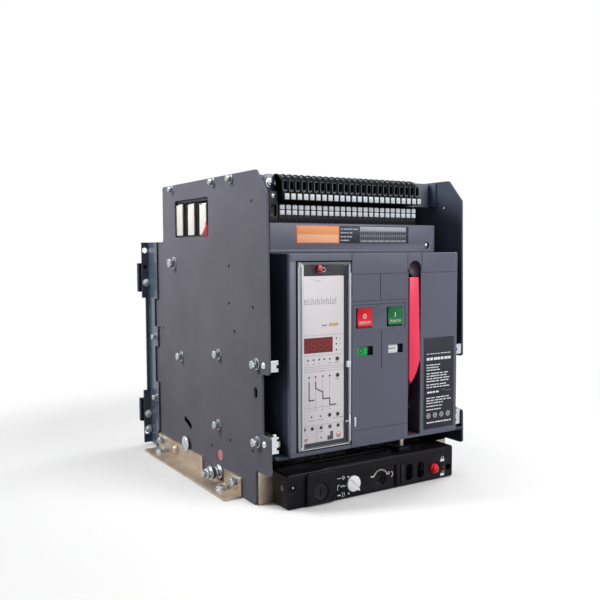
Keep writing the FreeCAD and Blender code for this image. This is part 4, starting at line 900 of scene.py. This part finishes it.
def upper_cover():
    cover = Box("upper_cover")
    y = cover.y[0]
    body = block(cover.x, cover.y, cover.z, 1.6, 3)
    hollow = block((cover.x[0] + WALL, cover.x[1] - WALL), (y + WALL, cover.y[1] + 1),
                   (cover.z[0] - 1, cover.z[1] - WALL), 0.0)
    screw_x, screw_z = 122.4, 328.6
    recess = tube((screw_x, y - 1, screw_z), Y, 4.6, 3.6, 0.0, 36)
    step = block(grow(cover.x, 1), off(y, -1, 0.5), (323.2, 323.9), 0.0)
    piece = Piece("top_cover", "breaker").add(COVER_GREY, carve(body, [hollow, step, recess], 0.35))
    piece.add(DEEP_BLACK, ring((screw_x, y + 2.0, screw_z), AHEAD, 4.6, 4.0, 1.6, 0.1))
    pan_screw(piece, (screw_x, y + 2.2, screw_z), AHEAD, 3.7, 2.4)
    label_y = y - 0.25
    piece.box(PANEL_DARK, (-30.0, 88.0), off(y, -0.12, 0.2), (331.4, 354.9), 0.05)
    piece.box(ORANGE_EDGE, (-98.0, -31.0), (label_y, y + 0.2), (331.2, 354.4), 0.1)
    for shade, low, high in ((ORANGE, 342.8, 353.4), (ORANGE_PALE, 332.3, 342.8)):
        piece.box(shade, (-96.6, -32.2), (label_y - 0.1, y), (low, high), 0.05)
    print_y = y - 0.2
    piece.box(BLACK, (-102.0, 95.0), off(y, 4.0, 5.0), off(cover.z[1], -0.6, 0.1), 0.05)
    for z, x1 in ((350.3, 1.0), (345.5, -9.4), (340.2, -9.2), (335.4, -13.7)):
        piece.dash(PRINT_GREY, -28.6, x1, z, 1.7, print_y, 6 if x1 > 0 else 4)
    piece.box(PRINT_GREY, (3.2, 83.2), (print_y - 0.1, y), (348.0, 353.8), 0.05)
    pitch = 3.3
    for k in range(25):
        column = 3.6 + pitch * k
        piece.line(PRINT_GREY, [(column, 332.6), (column, 347.6)], 0.35, print_y)
    for z in (347.3, 342.6, 340.6, 335.6):
        piece.line(PRINT_GREY, [(3.4, z), (82.8, z)], 0.4, print_y)
    for k in range(24):
        shape = 0.5 + 0.35 * (k % 3)
        piece.box(PRINT_GREY, (4.4 + pitch * k, 6.1 + pitch * k), (print_y - 0.1, y),
                  (333.2, 333.4 + 2 * shape), 0.0)
    piece.place("upper_cover", slot="panel_grey")


# ---- Controller ---------------------------------------------------------------------------
def controller():
    """Trip unit: dark body, pale face with its printed diagram, keys and display."""
    face = CONTROL.y[0]
    x, z = CONTROL.x, CONTROL.z
    body = block(x, CONTROL.y, z, 0.8)
    knives = [tube((RESET_X, face - 1, RESET_Z), Y, 5.4, 5.0, 0.0, 36),
              block((-119.0, -117.9), off(face, -1, 1.2), (76.0, 292.0), 0.0),
              block((-54.2, -50.6), off(face, -1, 1.2), (76.0, 292.0), 0.0)]
    piece = Piece("controller_body", "breaker").add(BLACK, carve(body, knives, 0.4))
    for cx, cz in ((-117.4, 303.4), (-51.4, 303.4), (-117.4, 293.6)):
        piece.box(ZINC, around(cx, 1.0), off(face, -0.25, 0.2), around(cz, 0.4), 0.1)
    plate_x, plate_z = (-118.2, -54.6), (81.6, 290.4)
    piece.add(FACE, slab(rounded_outline(plate_x, plate_z, 1.6), "y", face - 0.9, 1.2, 0.25))
    ink = face - 0.92
    wide, tall = (-117.2, -72.3), (195.2, 213.0)
    piece.box(PRINT_BLACK, grow(wide, 0.6), (face - 1.3, face), grow(tall, 0.6), 0.2)
    piece.line(PRINT_FAINT, [(-117.0, 216.6), (-56.0, 216.6)], 0.35, ink)
    piece.box(DISPLAY, wide, (face - 1.5, face), tall, 0.35)
    for k in range(4):
        piece.add(SEGMENT, *digit(-111.0 + 10.4 * k, 204.1, 6.4, 12.0, face - 1.52))
    curves = (-107.2, -97.4, -86.7, -76.2)
    lamps = (211.4, 204.1, 196.5)
    dots = [(-66.0, cz, 0.9) for cz in lamps] + [(cx, 164.5, 1.0) for cx in curves]
    dots += [(cx, 185.9, 1.0) for cx in (-108.6, -100.4, -92.0, -84.5)]
    dots += [(-76.0, 185.8, 1.0), (-115.2, 114.2, 0.9), (-103.7, 114.4, 0.9), (-90.4, 114.2, 0.9),
             (-89.1, 86.9, 0.9)]
    keys = [(-64.7, 185.2, 1.9), (-64.2, 164.1, 1.9), (-76.5, 114.2, 1.8), (-64.0, 114.1, 1.8),
            (-114.4, 99.4, 1.5)] + [(cx, 99.4, 1.6) for cx in (-102.6, -89.4, -75.9, -63.4)]
    for cx, cz, r in dots:
        piece.add(PRINT_BLACK, dome((cx, face - 0.9, cz), AHEAD, r * 1.35, 0.35, 20, 4))
    for cx, cz, r in keys:
        r *= 1.25
        piece.add(PRINT_FAINT, ring((cx, face - 0.9, cz), AHEAD, r + 0.8, r + 0.3, 0.15, 0.0, 24))
        piece.add(DEEP_BLACK, dome((cx, face - 0.9, cz), AHEAD, r, 0.7, 24, 5))
    for x0, x1, cz in ((-113.0, -57.0, 191.2), (-114.0, -56.0, 177.3), (-114.0, -57.0, 174.3),
                       (-114.0, -93.0, 171.4), (-80.0, -58.0, 171.2), (-116.0, -61.0, 125.8)):
        piece.line(PRINT_FAINT, [(x0, cz), (x1, cz)], 0.4, ink)
    for cx in curves:
        piece.line(PRINT_FAINT, [(cx, 163.0), (cx, 126.0)], 0.35, ink)
    piece.line(PRINT_BLACK, [(-107.2, 157.7), (-107.2, 135.4), (-100.0, 135.4)], 1.5, ink - 0.05)
    curve = [(-97.4, 158.0), (-97.4, 150.1), (-86.7, 144.6), (-86.7, 136.0), (-76.2, 136.0),
             (-76.2, 127.3), (-67.4, 127.3)]
    piece.line(PRINT_BLACK, curve, 1.5, ink - 0.05)
    for x0, x1 in ((-117.0, -97.1), (-95.3, -55.2)):
        loop = [(x0, 81.4), (x1, 81.4), (x1, 103.4), (x0, 103.4), (x0, 81.4)]
        piece.line(PRINT_FAINT, loop, 0.35, ink)
    words = [(-59.6, cz, 1.0) for cz in lamps] + [(cx, 122.6, 1.6) for cx in curves]
    words += [(cx, 180.6, half) for cx, half in
              ((-108.6, 2.0), (-100.4, 1.5), (-92.0, 1.5), (-76.0, 2.6), (-64.7, 5.0))]
    words += [(-86.7, 171.3, 4.5), (-64.2, 159.4, 3.4), (-103.7, 109.8, 4.6), (-90.4, 109.8, 4.2),
              (-64.0, 109.8, 8.0), (-89.4, 94.4, 3.0), (-94.5, 284.4, 3.6)]
    for cx, cz, half in words:
        piece.dash(PRINT_FAINT, cx - half, cx + half, cz, 0.9, ink, 3)
    for k in range(19):
        tall = (8.4, 5.6, 5.6, 7.6, 5.6)[k % 5]
        cx = -116.4 + 2.75 * k
        piece.line(PRINT_FAINT, [(cx, 255.2), (cx, 255.2 + tall)], 0.7, ink)
        if k % 3:
            cz = 255.6 + 4.8 * (k % 2)
            piece.line(PRINT_FAINT, [(cx + 0.3, cz), (cx + 1.7, cz)], 0.6, ink)
    piece.dash(PRINT_GOLD, -77.0, -63.0, 229.0, 4.0, ink, 4)
    piece.dash(PRINT_FAINT, -88.0, -80.0, 228.4, 2.0, ink, 2)
    lever = [(-79.6, 82.8), (-71.4, 82.8), (-71.4, 93.4), (-75.4, 93.4), (-75.4, 88.0), (-79.6, 88.0)]
    piece.add(PRINT_BLACK, slab(lever, "y", face - 1.6, 1.2, 0.2))
    for cx in (-112.4, -62.6):
        piece.add(PRINT_FAINT, ring((cx, face - 0.9, 87.4), AHEAD, 3.6, 3.0, 0.2, 0.05, 28))
        pan_screw(piece, (cx, face - 0.9, 87.4), AHEAD, 3.1, 1.3, 20.0, BRONZE)
    piece.add(PRINT_WHITE, ring((-85.0, face - 0.2, 298.2), AHEAD, 3.0, 2.3, 0.4, 0.1, 28))
    piece.add(DARK_RED, ring((RESET_X, face - 0.1, RESET_Z), AHEAD, 6.4, 5.5, 0.4, 0.1))
    piece.place("controller_housing", slot="controller_white")


def digit(cx, cz, wide, tall, y):
    """Unlit figure eight of seven slanted bars."""
    half, reach, lean = wide / 2, tall / 2, 0.06
    at = lambda x, z: (cx + x + lean * z, cz + z)
    runs = [[at(-half + 1, level), at(half - 1, level)] for level in (-reach, 0, reach)]
    runs += [[at(side, low), at(side, high)] for side in (-half, half)
             for low, high in ((-reach + 1, -1), (1, reach - 1))]
    pieces = []
    for run in runs:
        pieces += stroke(run, 0.85, y, 0.1)
    return pieces


def controller_door():
    """Clear hinged door with a thicker rim, its knuckles and the catch; pale and dark strips and white
    crosses along its edges are painted highlights and painted shade.
    """
    x, y, z = (DOOR.x[0] + 2.4, DOOR.x[1]), off(FACE_Y, -1.5, 0.7), DOOR.z
    reset = tube((RESET_X, y[0] - 1, RESET_Z), Y, 7.5, 6.0, 0.0, 40)
    piece = Piece("controller_door", "controller_cover")
    pane = carve(block(grow(x, -4), grow(y, -0.6, -0.2), grow(z, -3), 0.0), [reset], 0.15)
    piece.add(CLEAR, pane)
    outer = slab(rounded_outline(x, z, 2.0), "y", y[0], y[1] - y[0], 0.0)
    inner = slab(rounded_outline(grow(x, -5.4, -3.0), grow(z, -3), 1.5), "y", y[0] - 1, 5.0, 0.0)
    piece.add(CLEAR_RIM, carve(outer, [inner], 0.35))
    # Pale strips along the left and right edges: painted highlights on the clear rim.
    piece.add(CLEAR_EDGE_AND_HIGHLIGHT, block(off(x[0], 0.8, 5.2), (y[0] - 0.05, y[1]), grow(z, -3), 0.4),
              block(off(x[1], -3.4, -1.5), (y[0] - 0.05, y[1]), grow(z, -3), 0.4))
    piece.add(CLEAR_EDGE_AND_HIGHLIGHT, tube((-122.6, -7.3, z[0]), Z, 2.4, z[1] - z[0], 0.3, 32))
    # Thin white, black and white streaks down the left edge: painted highlights and a painted dark streak.
    front = off(y[0], -0.12, 0.3)
    for cx, half, shade in ((-125.4, 0.3, WHITE), (-121.2, 0.3, DEEP_BLACK), (-118.7, 0.45, WHITE)):
        piece.box(shade, around(cx, half), front, grow(z, -5.0, -6.0), 0.1)
    # White lines along the right and bottom edges and the white crosses: painted highlights.
    piece.box(WHITE, off(x[1], -1.4, -0.2), grow(y, 0.12, -0.1), grow(z, -4.0, -14.0), 0.4)
    piece.box(WHITE, grow(x, -3), front, off(z[0], 0.6, 1.3), 0.15)
    for low in grow(z, -1.0, -6.0):
        star = [block(off(x[0], 0.8, 4.6), (y[0] - 0.1, y[1]), off(low, 1.6, 2.8), 0.3),
                block(off(x[0], 2.0, 3.2), (y[0] - 0.1, y[1]), off(low, -0.4, 4.6), 0.3)]
        piece.add(WHITE, *star)
    piece.box(WHITE, off(x[1], -6.5, -0.6), grow(y, 0.1, 0.5), (173.4, 181.4), 0.6)
    piece.box(WHITE, off(x[1], -3.4, -0.8), (y[0] - 0.15, y[1]), (99.0, 112.0), 0.5)
    piece.box(CLEAR_EDGE_AND_HIGHLIGHT, off(x[1], -8.0, -0.2), (y[0] - 0.1, y[1]), (103.0, 105.0), 0.3)
    piece.place("controller_cover", slot="clear_cover")


# ---- Controls -----------------------------------------------------------------------------
def push_key(node, name, finish, shade, symbol, word):
    """Pillow key: bright face over a darker copy of its colour that shows at the right and lower edges as
    painted shade.
    """
    extent = Box(node)
    x, z = grow(extent.x, -3.2, -1.6), grow(extent.z, -3.6, -1.8)
    y = extent.y[0]
    behind = FACE_Y + WALL + 0.5
    middle, height = (x[0] + x[1]) / 2, (z[0] + z[1]) / 2
    hollow = tube((x[0] - 5, y - 38.0, height + 1), X, 39.6, 60, 0.0, 200)
    key = slab(rounded_outline(x, z, 1.6), "y", y, 6.0 - y, 0.9, 3)
    piece = Piece(name, node).add(finish, carve(key, [hollow], 0.2))
    # The darker slab under the key and the plate behind the wall paint the shade at the key's right and
    # lower edges.
    lower = rounded_outline((x[0] + 0.5, extent.x[1] - 0.3), (extent.z[0] + 1.6, z[1] - 0.5), 1.6)
    under = slab(lower, "y", y + 2.2, 4.0, 0.7, 3)
    piece.add(shade, under, block(extent.x, (behind, behind + 2), extent.z, 0.4))
    piece.add(DULL_STEEL, tube((middle, 4.0, height), Y, 4.0, 26.0))
    if symbol == "O":
        mark = ring((middle, y + 1.8, height + 1.6), AHEAD, 2.9, 1.8, 0.4, 0.02, 32)
    else:
        mark = block(around(middle, 0.7), off(y, 1.3, 1.8), off(height, -1.2, 4.4), 0.0)
    piece.add(WHITE, mark, lettering(word, 4.4, (middle, y + 0.95, height - 6.6), 1.0, 0.9))
    piece.place(node, slot="red_plastic" if symbol == "O" else "green_plastic")


def indicator(node, name, x, finish, ring_mark):
    """Two-field flag: coloured field in the lower half and black field in the upper half, each with a deep
    black strip on the right that paints the shade of the window's right wall.
    """
    extent = Box(node)
    y = extent.y[0]
    tall = (extent.z[1] - extent.z[0]) / 2
    split = x[0] + 0.74 * (x[1] - x[0])
    piece = Piece(name, node)
    for k, shade in enumerate((finish, BLACK)):
        z = (extent.z[0] + tall * k, extent.z[0] + tall * (k + 1))
        piece.box(shade, (extent.x[0], split), (y, y + 1.6), z, 0.3)
        # Deep black strip: painted shade of the window's right wall.
        piece.box(DEEP_BLACK, (split, extent.x[1]), (y, y + 1.6), z, 0.3)
    middle = (x[0] + split) / 2
    if ring_mark:
        mark = ring((middle - 1.0, y + 0.05, extent.z[0] + tall / 2 + 0.3), AHEAD, 3.6, 2.0, 0.25, 0.05, 28)
        piece.add(PRINT_BLACK, mark)
    else:
        piece.dash(PRINT_BLACK, middle - 7, middle + 7, extent.z[0] + tall / 2, 1.2, y - 0.05, 3)
    piece.box(DULL_STEEL, (sum(x) / 2 - 2, sum(x) / 2 + 2), (y + 1.6, extent.y[1]), off(FLAG_Z[0], 2, 8))
    piece.place(node, slot="green_plastic" if ring_mark else "white_plastic")


def reset():
    extent = Box("reset_button")
    point = Vector((RESET_X, extent.y[0] + 0.6, RESET_Z + 1.2))
    piece = Piece("reset_key", "reset_button")
    piece.add(PINK, tube(point, Y, 3.9, 15.4, 0.6), dome(point, AHEAD, 3.4, 0.6))
    piece.add(DARK_RED, ring((RESET_X, CONTROL.y[0] + 4.0, RESET_Z), Y, 6.4, 3.8, 2.0),
              ring((RESET_X, point.y + 1.5, RESET_Z), Y, 5.0, 3.8, 2.0))
    piece.place("reset_button", slot="red_plastic")


def charging_handle():
    """Red pull-down grip that narrows to a point at its foot, on an arm of darker red that paints the shade
    deep in the slot.
    """
    x0 = HANDLE.x[0]
    face = HANDLE.y[0]
    top = HANDLE.z[1]
    grip = [(x0, 149.0), (x0, top), (65.0, top), (68.6, 174.5), (63.0, 158.0), (58.0, 149.5), (52.0, 142.2)]
    piece = Piece("handle", "charging_handle")
    piece.add(HANDLE_RED, slab(grip, "y", face, 12.0, 1.3, 3))
    arm = [(-6, 172), (2, 172), (24, 114), (24, 98), (10, 97), (7, 104)]
    piece.add(MAROON, slab(arm, "x", 50.5, 9.5, 0.8))
    piece.add(BLACK, tube((50.0, 16.0, 106.0), X, 7.0, 10.4, 0.6))
    piece.place("charging_handle", slot="handle_red")


# ---- Racking box --------------------------------------------------------------------------
RACK = Box("racking_box_housing")
RACK_Y = RACK.y[0]
KEY = Box("key_lock")
COVER = Box("key_cover")
KNOB = Box("position_pointer")
UNLOCK = Box("unlock_button")
TAB = Box("padlock_tab")
CRANK = (7.6, 17.4)
PLUG = (-128.8, 27.2)
OVALS = (57.0, 77.5)


def racking_housing():
    """Black moulded box with its holes, slots, corner recess and lid ridge."""
    y = RACK_Y
    body = slab(rounded_outline(RACK.x, RACK.z, 3.2), "y", y, RACK.y[1] - y, 2.0, 3)
    hollow = block(grow(RACK.x, -3), (y + 3, RACK.y[1] + 1), (-1, RACK.z[1] - 3), 0.0)
    recess = block((RACK.x[0] - 1, COVER.x[0]), off(y, -1, 1.5), (-1, RACK.z[1] - 7), 0.0)
    through = y - 1
    knob, unlock = (KNOB.mid("x"), KNOB.mid("z")), (UNLOCK.mid("x"), UNLOCK.mid("z"))
    holes = [tube((cx, through, cz), Y, r, 6.0, 0.0, 48)
             for cx, cz, r in ((*CRANK, 9.0), (*knob, 10.9), (*unlock, 7.9), (128.7, 14.7, 4.6),
                               (*PLUG, 5.6))]
    slots = [block((30.2, 33.2), (through, y + 5), (3.0, 32.5), 0.0),
             block(grow(TAB.x, 0.4), (through, y + 5), grow(TAB.z, 0.4), 0.0)]
    ovals = []
    for cx in OVALS:
        outline = arc_points(cx, 23.5, 6.0, 0, 180, 14) + arc_points(cx, 12.5, 6.0, 180, 360, 14)
        ovals.append(slab(outline, "y", through, 6.0, 0.0))
    piece = Piece("racking_box", "cradle")
    piece.add(BOX_BLACK, carve(body, [hollow, recess] + holes + slots + ovals, 0.45, 40))
    piece.box(BOX_BLACK, (-83.0, 39.4), (28.5, 32.5), off(RACK.z[1], -0.5, 1.8), 0.5)
    piece.box(BOX_BLACK, (39.4, 86.0), (24.0, 33.5), off(RACK.z[1], -0.5, 1.2), 0.6)
    piece.box(BOX_BLACK, (34.6, 38.4), off(y, -1.2, 1), (3.5, 32.0), 0.8, 3)
    # Deep black tubes and dish paint the shade inside the plug hole; the small white dome is a painted
    # glint on the screw in it.
    piece.add(DEEP_BLACK, tube((PLUG[0], y + 6.0, PLUG[1]), Y, 6.2, 1.0))
    piece.add(DEEP_BLACK, tube((PLUG[0], y + 1.4, PLUG[1]), Y, 5.2, 2.0, 0.2),
              ring((PLUG[0], y + 1.3, PLUG[1]), AHEAD, 3.4, 2.4, 0.3, 0.1))
    piece.add(WHITE, dome((-128.6, y + 1.4, 27.4), AHEAD, 1.3, 0.8, 20, 4))
    # Deep black plates behind the ovals and the small round hole paint the shade inside the box.
    for cx in OVALS:
        piece.box(DEEP_BLACK, around(cx, 7), off(y, 8, 9), (4, 32), 0.3)
    piece.box(DEEP_BLACK, (120.5, 133.5), off(y, 8, 9), (8, 22), 0.3)
    piece.box(BOX_BLACK, (48.0, 66.0), (8.0, 24.0), off(RACK.z[1], -0.5, 6.0), 1.2, 3)
    # Thin steel-grey line along the top front edge: painted highlight.
    piece.box(DULL_STEEL, (-83.0, 38.0), off(y, 2.2, 2.7), off(RACK.z[1], -0.2, 0.1), 0.05)
    piece.add(DULL_STEEL, ring((RACK.x[0] + 0.3, 11.0, 25.5), (-1, 0, 0), 3.2, 1.6, 0.5, 0.1))
    decal(piece, y)
    piece.place("racking_box_housing", slot="box_black")


def decal(piece, y):
    """Printed symbols of the box: three positions, crank directions and two padlocks."""
    ink = y - 0.28
    piece.box(DEEP_BLACK, (-66.2, -47.9), off(y, -0.25, 0.2), (2.2, 31.6), 0.1)
    arc = oval(*CRANK, 12.0, 12.0, [math.radians(22 + 12.5 * k) for k in range(11)])
    bend = (-1.2, -0.6, 0, 0.6, 1.2)
    for width, marks in (
            (0.7, ([(-62.6, 28.6), (-57.0, 28.6)], [(-62.4, 13.6), (-62.4, 19.6), (-59.0, 19.6)],
                   [(-57.0, 16.6), (-55.6, 18.8), (-54.2, 16.6), (-52.8, 18.8), (-51.4, 16.6),
                    (-49.6, 17.6)],
                   [(-62.6, 6.4), (-57.4, 6.4)],
                   oval(-56.2, 6.4, 1.8, 2.8, bend), oval(-53.2, 6.4, 1.8, 2.8, bend))),
            (0.8, ([(-55.4, 28.6), (-53.2, 30.8), (-51.0, 28.6), (-53.2, 26.4), (-55.4, 28.6)],)),
            (0.9, (oval(26.0, 20.6, 2.4, 3.2, (1.6, 0.8, 0, -0.8, -1.6)),)),
            (1.2, ([(21.6, 24.4), (21.6, 21.8)],)),
            (1.4, ([(-8.0, 22.0), (-3.6, 22.0)],)),
            (1.5, (arc,))):
        for points in marks:
            piece.line(PRINT_WHITE, points, width, ink)
    for cx, cz in ((-59.6, 6.4), (-45.4, 28.4), (-44.6, 6.2)):
        piece.add(PRINT_WHITE, tube((cx, y - 0.3, cz), Y, 1.1, 0.6, 0.1, 20))
    for low, open_shift in ((24.0, 0.0), (3.6, 1.6)):
        piece.box(PRINT_WHITE, (114.0, 121.0), off(y, -0.3, 0.2), (low, low + 3.6), 0.1)
        bow = oval(117.5 + open_shift, low + 4.4, 2.4, 2.6, [math.radians(30 * k) for k in range(7)])
        piece.line(PRINT_WHITE, bow, 0.9, ink)
    piece.box(DARK_RED, (118.6, 121.2), off(y, -0.3, 0.2), (14.4, 16.8), 0.1)


def key_parts():
    y = COVER.y[0]
    cx, cz = KEY.mid("x"), KEY.mid("z")
    outline = rounded_outline(COVER.x, grow(COVER.z, -1), 2.5)
    body = slab(outline, "y", y, COVER.y[1] - y, 1.2, 3)
    piece = Piece("key_housing", "cradle")
    piece.add(BOX_BLACK, carve(body, [tube((cx, y - 1, cz), Y, 11.5, 8.0, 0.0, 48)], 0.6))
    piece.place("key_cover", slot="box_black")
    piece = Piece("key_barrel", "key_lock")
    barrel = tube((cx, KEY.y[0], cz), Y, 11.0, KEY.y[1] - KEY.y[0], 0.6, 48)
    way = block(around(cx, 1), off(KEY.y[0], -1, 2), around(cz, 5), 0.0)
    dish = tube((cx, KEY.y[0] - 1, cz), Y, 7.8, 1.6, 0.0, 48)
    piece.add(BLACK, carve(barrel, [way, dish], 0.25))
    piece.place("key_lock", slot="black_moulding")


def pointer_knob():
    """White knob with a screwdriver slot and a nose at its lower right."""
    cx, cz = KNOB.mid("x"), KNOB.mid("z")
    y = KNOB.y[0]
    body = tube((cx, y, cz), Y, 10.5, 10.0, 0.9, 56)
    slot = block(around(cx, 8.5), off(y, -1, 1.4), around(cz, 1.0), 0.0)
    turned(slot, (cx, 0, cz), "Y", 48)
    piece = Piece("position_knob", "position_pointer").add(KNOB_WHITE, carve(body, [slot], 0.2))
    nose = slab([(-2.6, -9.0), (2.6, -9.0), (0.4, -14.2), (-0.4, -14.2)], "y", y + 0.5, 1.2, 0.3)
    turned(nose, (0, 0, 0), "Y", -42)
    bmesh.ops.translate(nose, vec=(cx, 0, cz), verts=nose.verts)
    piece.add(KNOB_WHITE, nose)
    piece.add(DULL_STEEL, tube((cx, y + 10, cz), Y, 3.0, KNOB.y[1] - y - 10))
    piece.place("position_pointer", slot="white_plastic")


def unlock_key():
    cx, cz = UNLOCK.mid("x"), UNLOCK.mid("z")
    y = UNLOCK.y[0]
    piece = Piece("unlock_key", "unlock_button")
    piece.add(RED, tube((cx, y + 4.0, cz), Y, 7.2, 14.0, 0.8, 48),
              tube((cx, y + 2.4, cz), Y, 5.6, 4, 0.3, 40))
    piece.add(RED, dome((cx, y + 2.4, cz), AHEAD, 5.5, 2.3))
    piece.add(RED, ring((cx, RACK_Y + 4.0, cz), Y, 10.0, 7.4, 2.0))
    piece.place("unlock_button", slot="red_plastic")


def lock_tab():
    hole = tube((TAB.x[0] - 1, RACK_Y + 8.0, 18.0), X, 4.0, 8, 0.0, 36)
    piece = Piece("lock_tab", "padlock_tab")
    piece.add(BLACK, carve(block(TAB.x, TAB.y, TAB.z, 0.9), [hole], 0.4))
    piece.place("padlock_tab", slot="black_moulding")


def tray_liner():
    """Deep black sheet on the tray floor and a strip along its front, painted shade seen through the gap
    under the breaker; deep black blocks paint the shade in the notches of the rail ends.
    """
    piece = Piece("tray_liner", "cradle")
    tray = Box("base_tray")
    wide = grow(tray.x, -3.0)
    piece.add(DEEP_BLACK, block(wide, grow(tray.y, -3.0, -16.0), (2.4, 2.7), 0.05),
              block(wide, (tray.y[0] + 0.3, 46.5), off(tray.z[1], -0.8, 0.4), 0.3))
    for side, _ in SIDES:
        # Deep black blocks: painted shade inside the rail-end notches.
        for low, high in ((178.4, 182.6), (76.5, 80.5), (88.0, 91.0)):
            notch = sorted((side * 148.9, side * 143.8))
            piece.box(DEEP_BLACK, notch, (2.6, 3.4), (low, high), 0.2)
        strip = mirrored(side, PLATE_IN - 0.2, PLATE_IN - 1.2)
        piece.box(WHITE, strip, (34.0, 36.2), (138.0, 150.0), 0.3)
    piece.place(slot="black_moulding")


for build in (tray_liner, cradle_fasteners, earth_studs, earth_stickers, window_grilles,
              fixed_terminals, moving_terminals, terminal_ends, front_panel, upper_cover,
              controller, controller_door, reset, charging_handle, racking_housing, key_parts,
              pointer_knob, unlock_key, lock_tab):
    build()
push_key("off_button", "off_key", RED, DARK_RED, "O", "PUSH OFF")
push_key("on_button", "on_key", GREEN, BLACK, "I", "PUSH ON")
indicator("state_indicator", "state_flag", STATE_X, FLAG_GREEN, True)
indicator("charge_indicator", "charge_flag", CHARGE_X, WHITE, False)


# ---- Stage --------------------------------------------------------------------------------
def seen_rays(tree):
    """1 for camera, mirror and transmitted rays, 0 for the light that falls on the object."""
    rays = add_node(tree, "LightPath").outputs
    value = rays["Is Camera Ray"]
    for kind in ("Is Glossy Ray", "Is Transmission Ray"):
        value = add_node(tree, "Math", {0: value, 1: rays[kind]}, operation="MAXIMUM").outputs[0]
    return value


def world():
    scene_world = bpy.data.worlds.new("studio")
    bpy.context.scene.world = scene_world
    scene_world.use_nodes = True
    tree = scene_world.node_tree
    ambient = tree.nodes["Background"]
    feed(tree, ambient, {"Color": (1, 1, 1, 1), "Strength": 0.15})
    bright = add_node(tree, "Background", {"Color": (1, 1, 1, 1), "Strength": 1.0})
    mix = add_node(tree, "MixShader", {0: seen_rays(tree), 1: ambient.outputs[0], 2: bright.outputs[0]})
    feed(tree, tree.nodes["World Output"], {"Surface": mix.outputs[0]})


def floor():
    """Pale paper that keeps the object's shadow and fades to white away from it."""
    bm = bmesh.new()
    bmesh.ops.create_grid(bm, x_segments=2, y_segments=2, size=8.0)
    mesh = bpy.data.meshes.new("floor")
    bm.to_mesh(mesh)
    bm.free()
    made = bpy.data.objects.new("floor", mesh)
    bpy.context.scene.collection.objects.link(made)
    made.location.z = -0.0005
    mat = bpy.data.materials.new("floor_paper")
    mat.use_nodes = True
    tree = mat.node_tree
    tones = {"A": (0.16, 0.16, 0.17, 1), "B": (0.95, 0.95, 0.95, 1), "Factor": seen_rays(tree)}
    tone = add_node(tree, "Mix", tones, data_type="RGBA")
    paper = tree.nodes["Principled BSDF"]
    feed(tree, paper, {"Roughness": 0.9, "Specular IOR Level": 0.0, "Base Color": tone.outputs["Result"]})
    glow = add_node(tree, "Emission", {"Strength": 1.0})
    place = add_node(tree, "TexCoord").outputs["Object"]
    length = add_node(tree, "VectorMath", {0: place}, operation="LENGTH").outputs["Value"]
    reach = add_node(tree, "MapRange", {"Value": length, "From Min": 0.3, "From Max": 0.75},
                     interpolation_type="SMOOTHSTEP")
    share = {0: reach.outputs["Result"], 1: seen_rays(tree)}
    only = add_node(tree, "Math", share, operation="MULTIPLY").outputs[0]
    mix = add_node(tree, "MixShader", {0: only, 1: paper.outputs[0], 2: glow.outputs[0]})
    feed(tree, tree.nodes["Material Output"], {"Surface": mix.outputs[0]})
    mesh.materials.append(mat)


def area_light(name, place, aim, size, power, spread=180.0):
    data = bpy.data.lights.new(name, "AREA")
    data.shape = "RECTANGLE"
    data.size, data.size_y = size
    data.energy = power
    data.spread = math.radians(spread)
    made = bpy.data.objects.new(name, data)
    bpy.context.scene.collection.objects.link(made)
    made.location = place
    made.rotation_euler = (Vector(aim) - Vector(place)).to_track_quat("-Z", "Y").to_euler()


def camera():
    data = bpy.data.cameras.new("camera")
    data.lens = 45.0
    data.sensor_width = 36.0
    made = bpy.data.objects.new("camera", data)
    bpy.context.scene.collection.objects.link(made)
    made.location = (-0.6028, -0.78323 + FRONT_Y, 0.3222)
    yaw, pitch, roll = math.radians(31.828), math.radians(3.785), math.radians(-0.186)
    turn = Matrix.Rotation(-yaw, 3, "Z") @ Matrix.Rotation(math.radians(90) - pitch, 3, "X")
    made.rotation_euler = (turn @ Matrix.Rotation(roll, 3, "Z")).to_euler()
    bpy.context.scene.camera = made


world()
floor()
area_light("left", (-1.05, 0.45, 1.2), (-0.16, 0.05, 0.58), (0.7, 0.7), 3.8, 58.0)
area_light("front", (0.85, -1.9, 1.25), (0.0, -0.2, 0.18), (1.3, 1.2), 40.0)
area_light("right", (1.7, 0.4, 0.9), (0.16, 0.0, 0.22), (0.9, 0.9), 3.0, 70.0)
area_light("top", (0.0, 0.2, 2.2), (0, 0, 0.2), (1.6, 1.6), 18.0)
camera()
bpy.context.scene.view_settings.view_transform = "Standard"
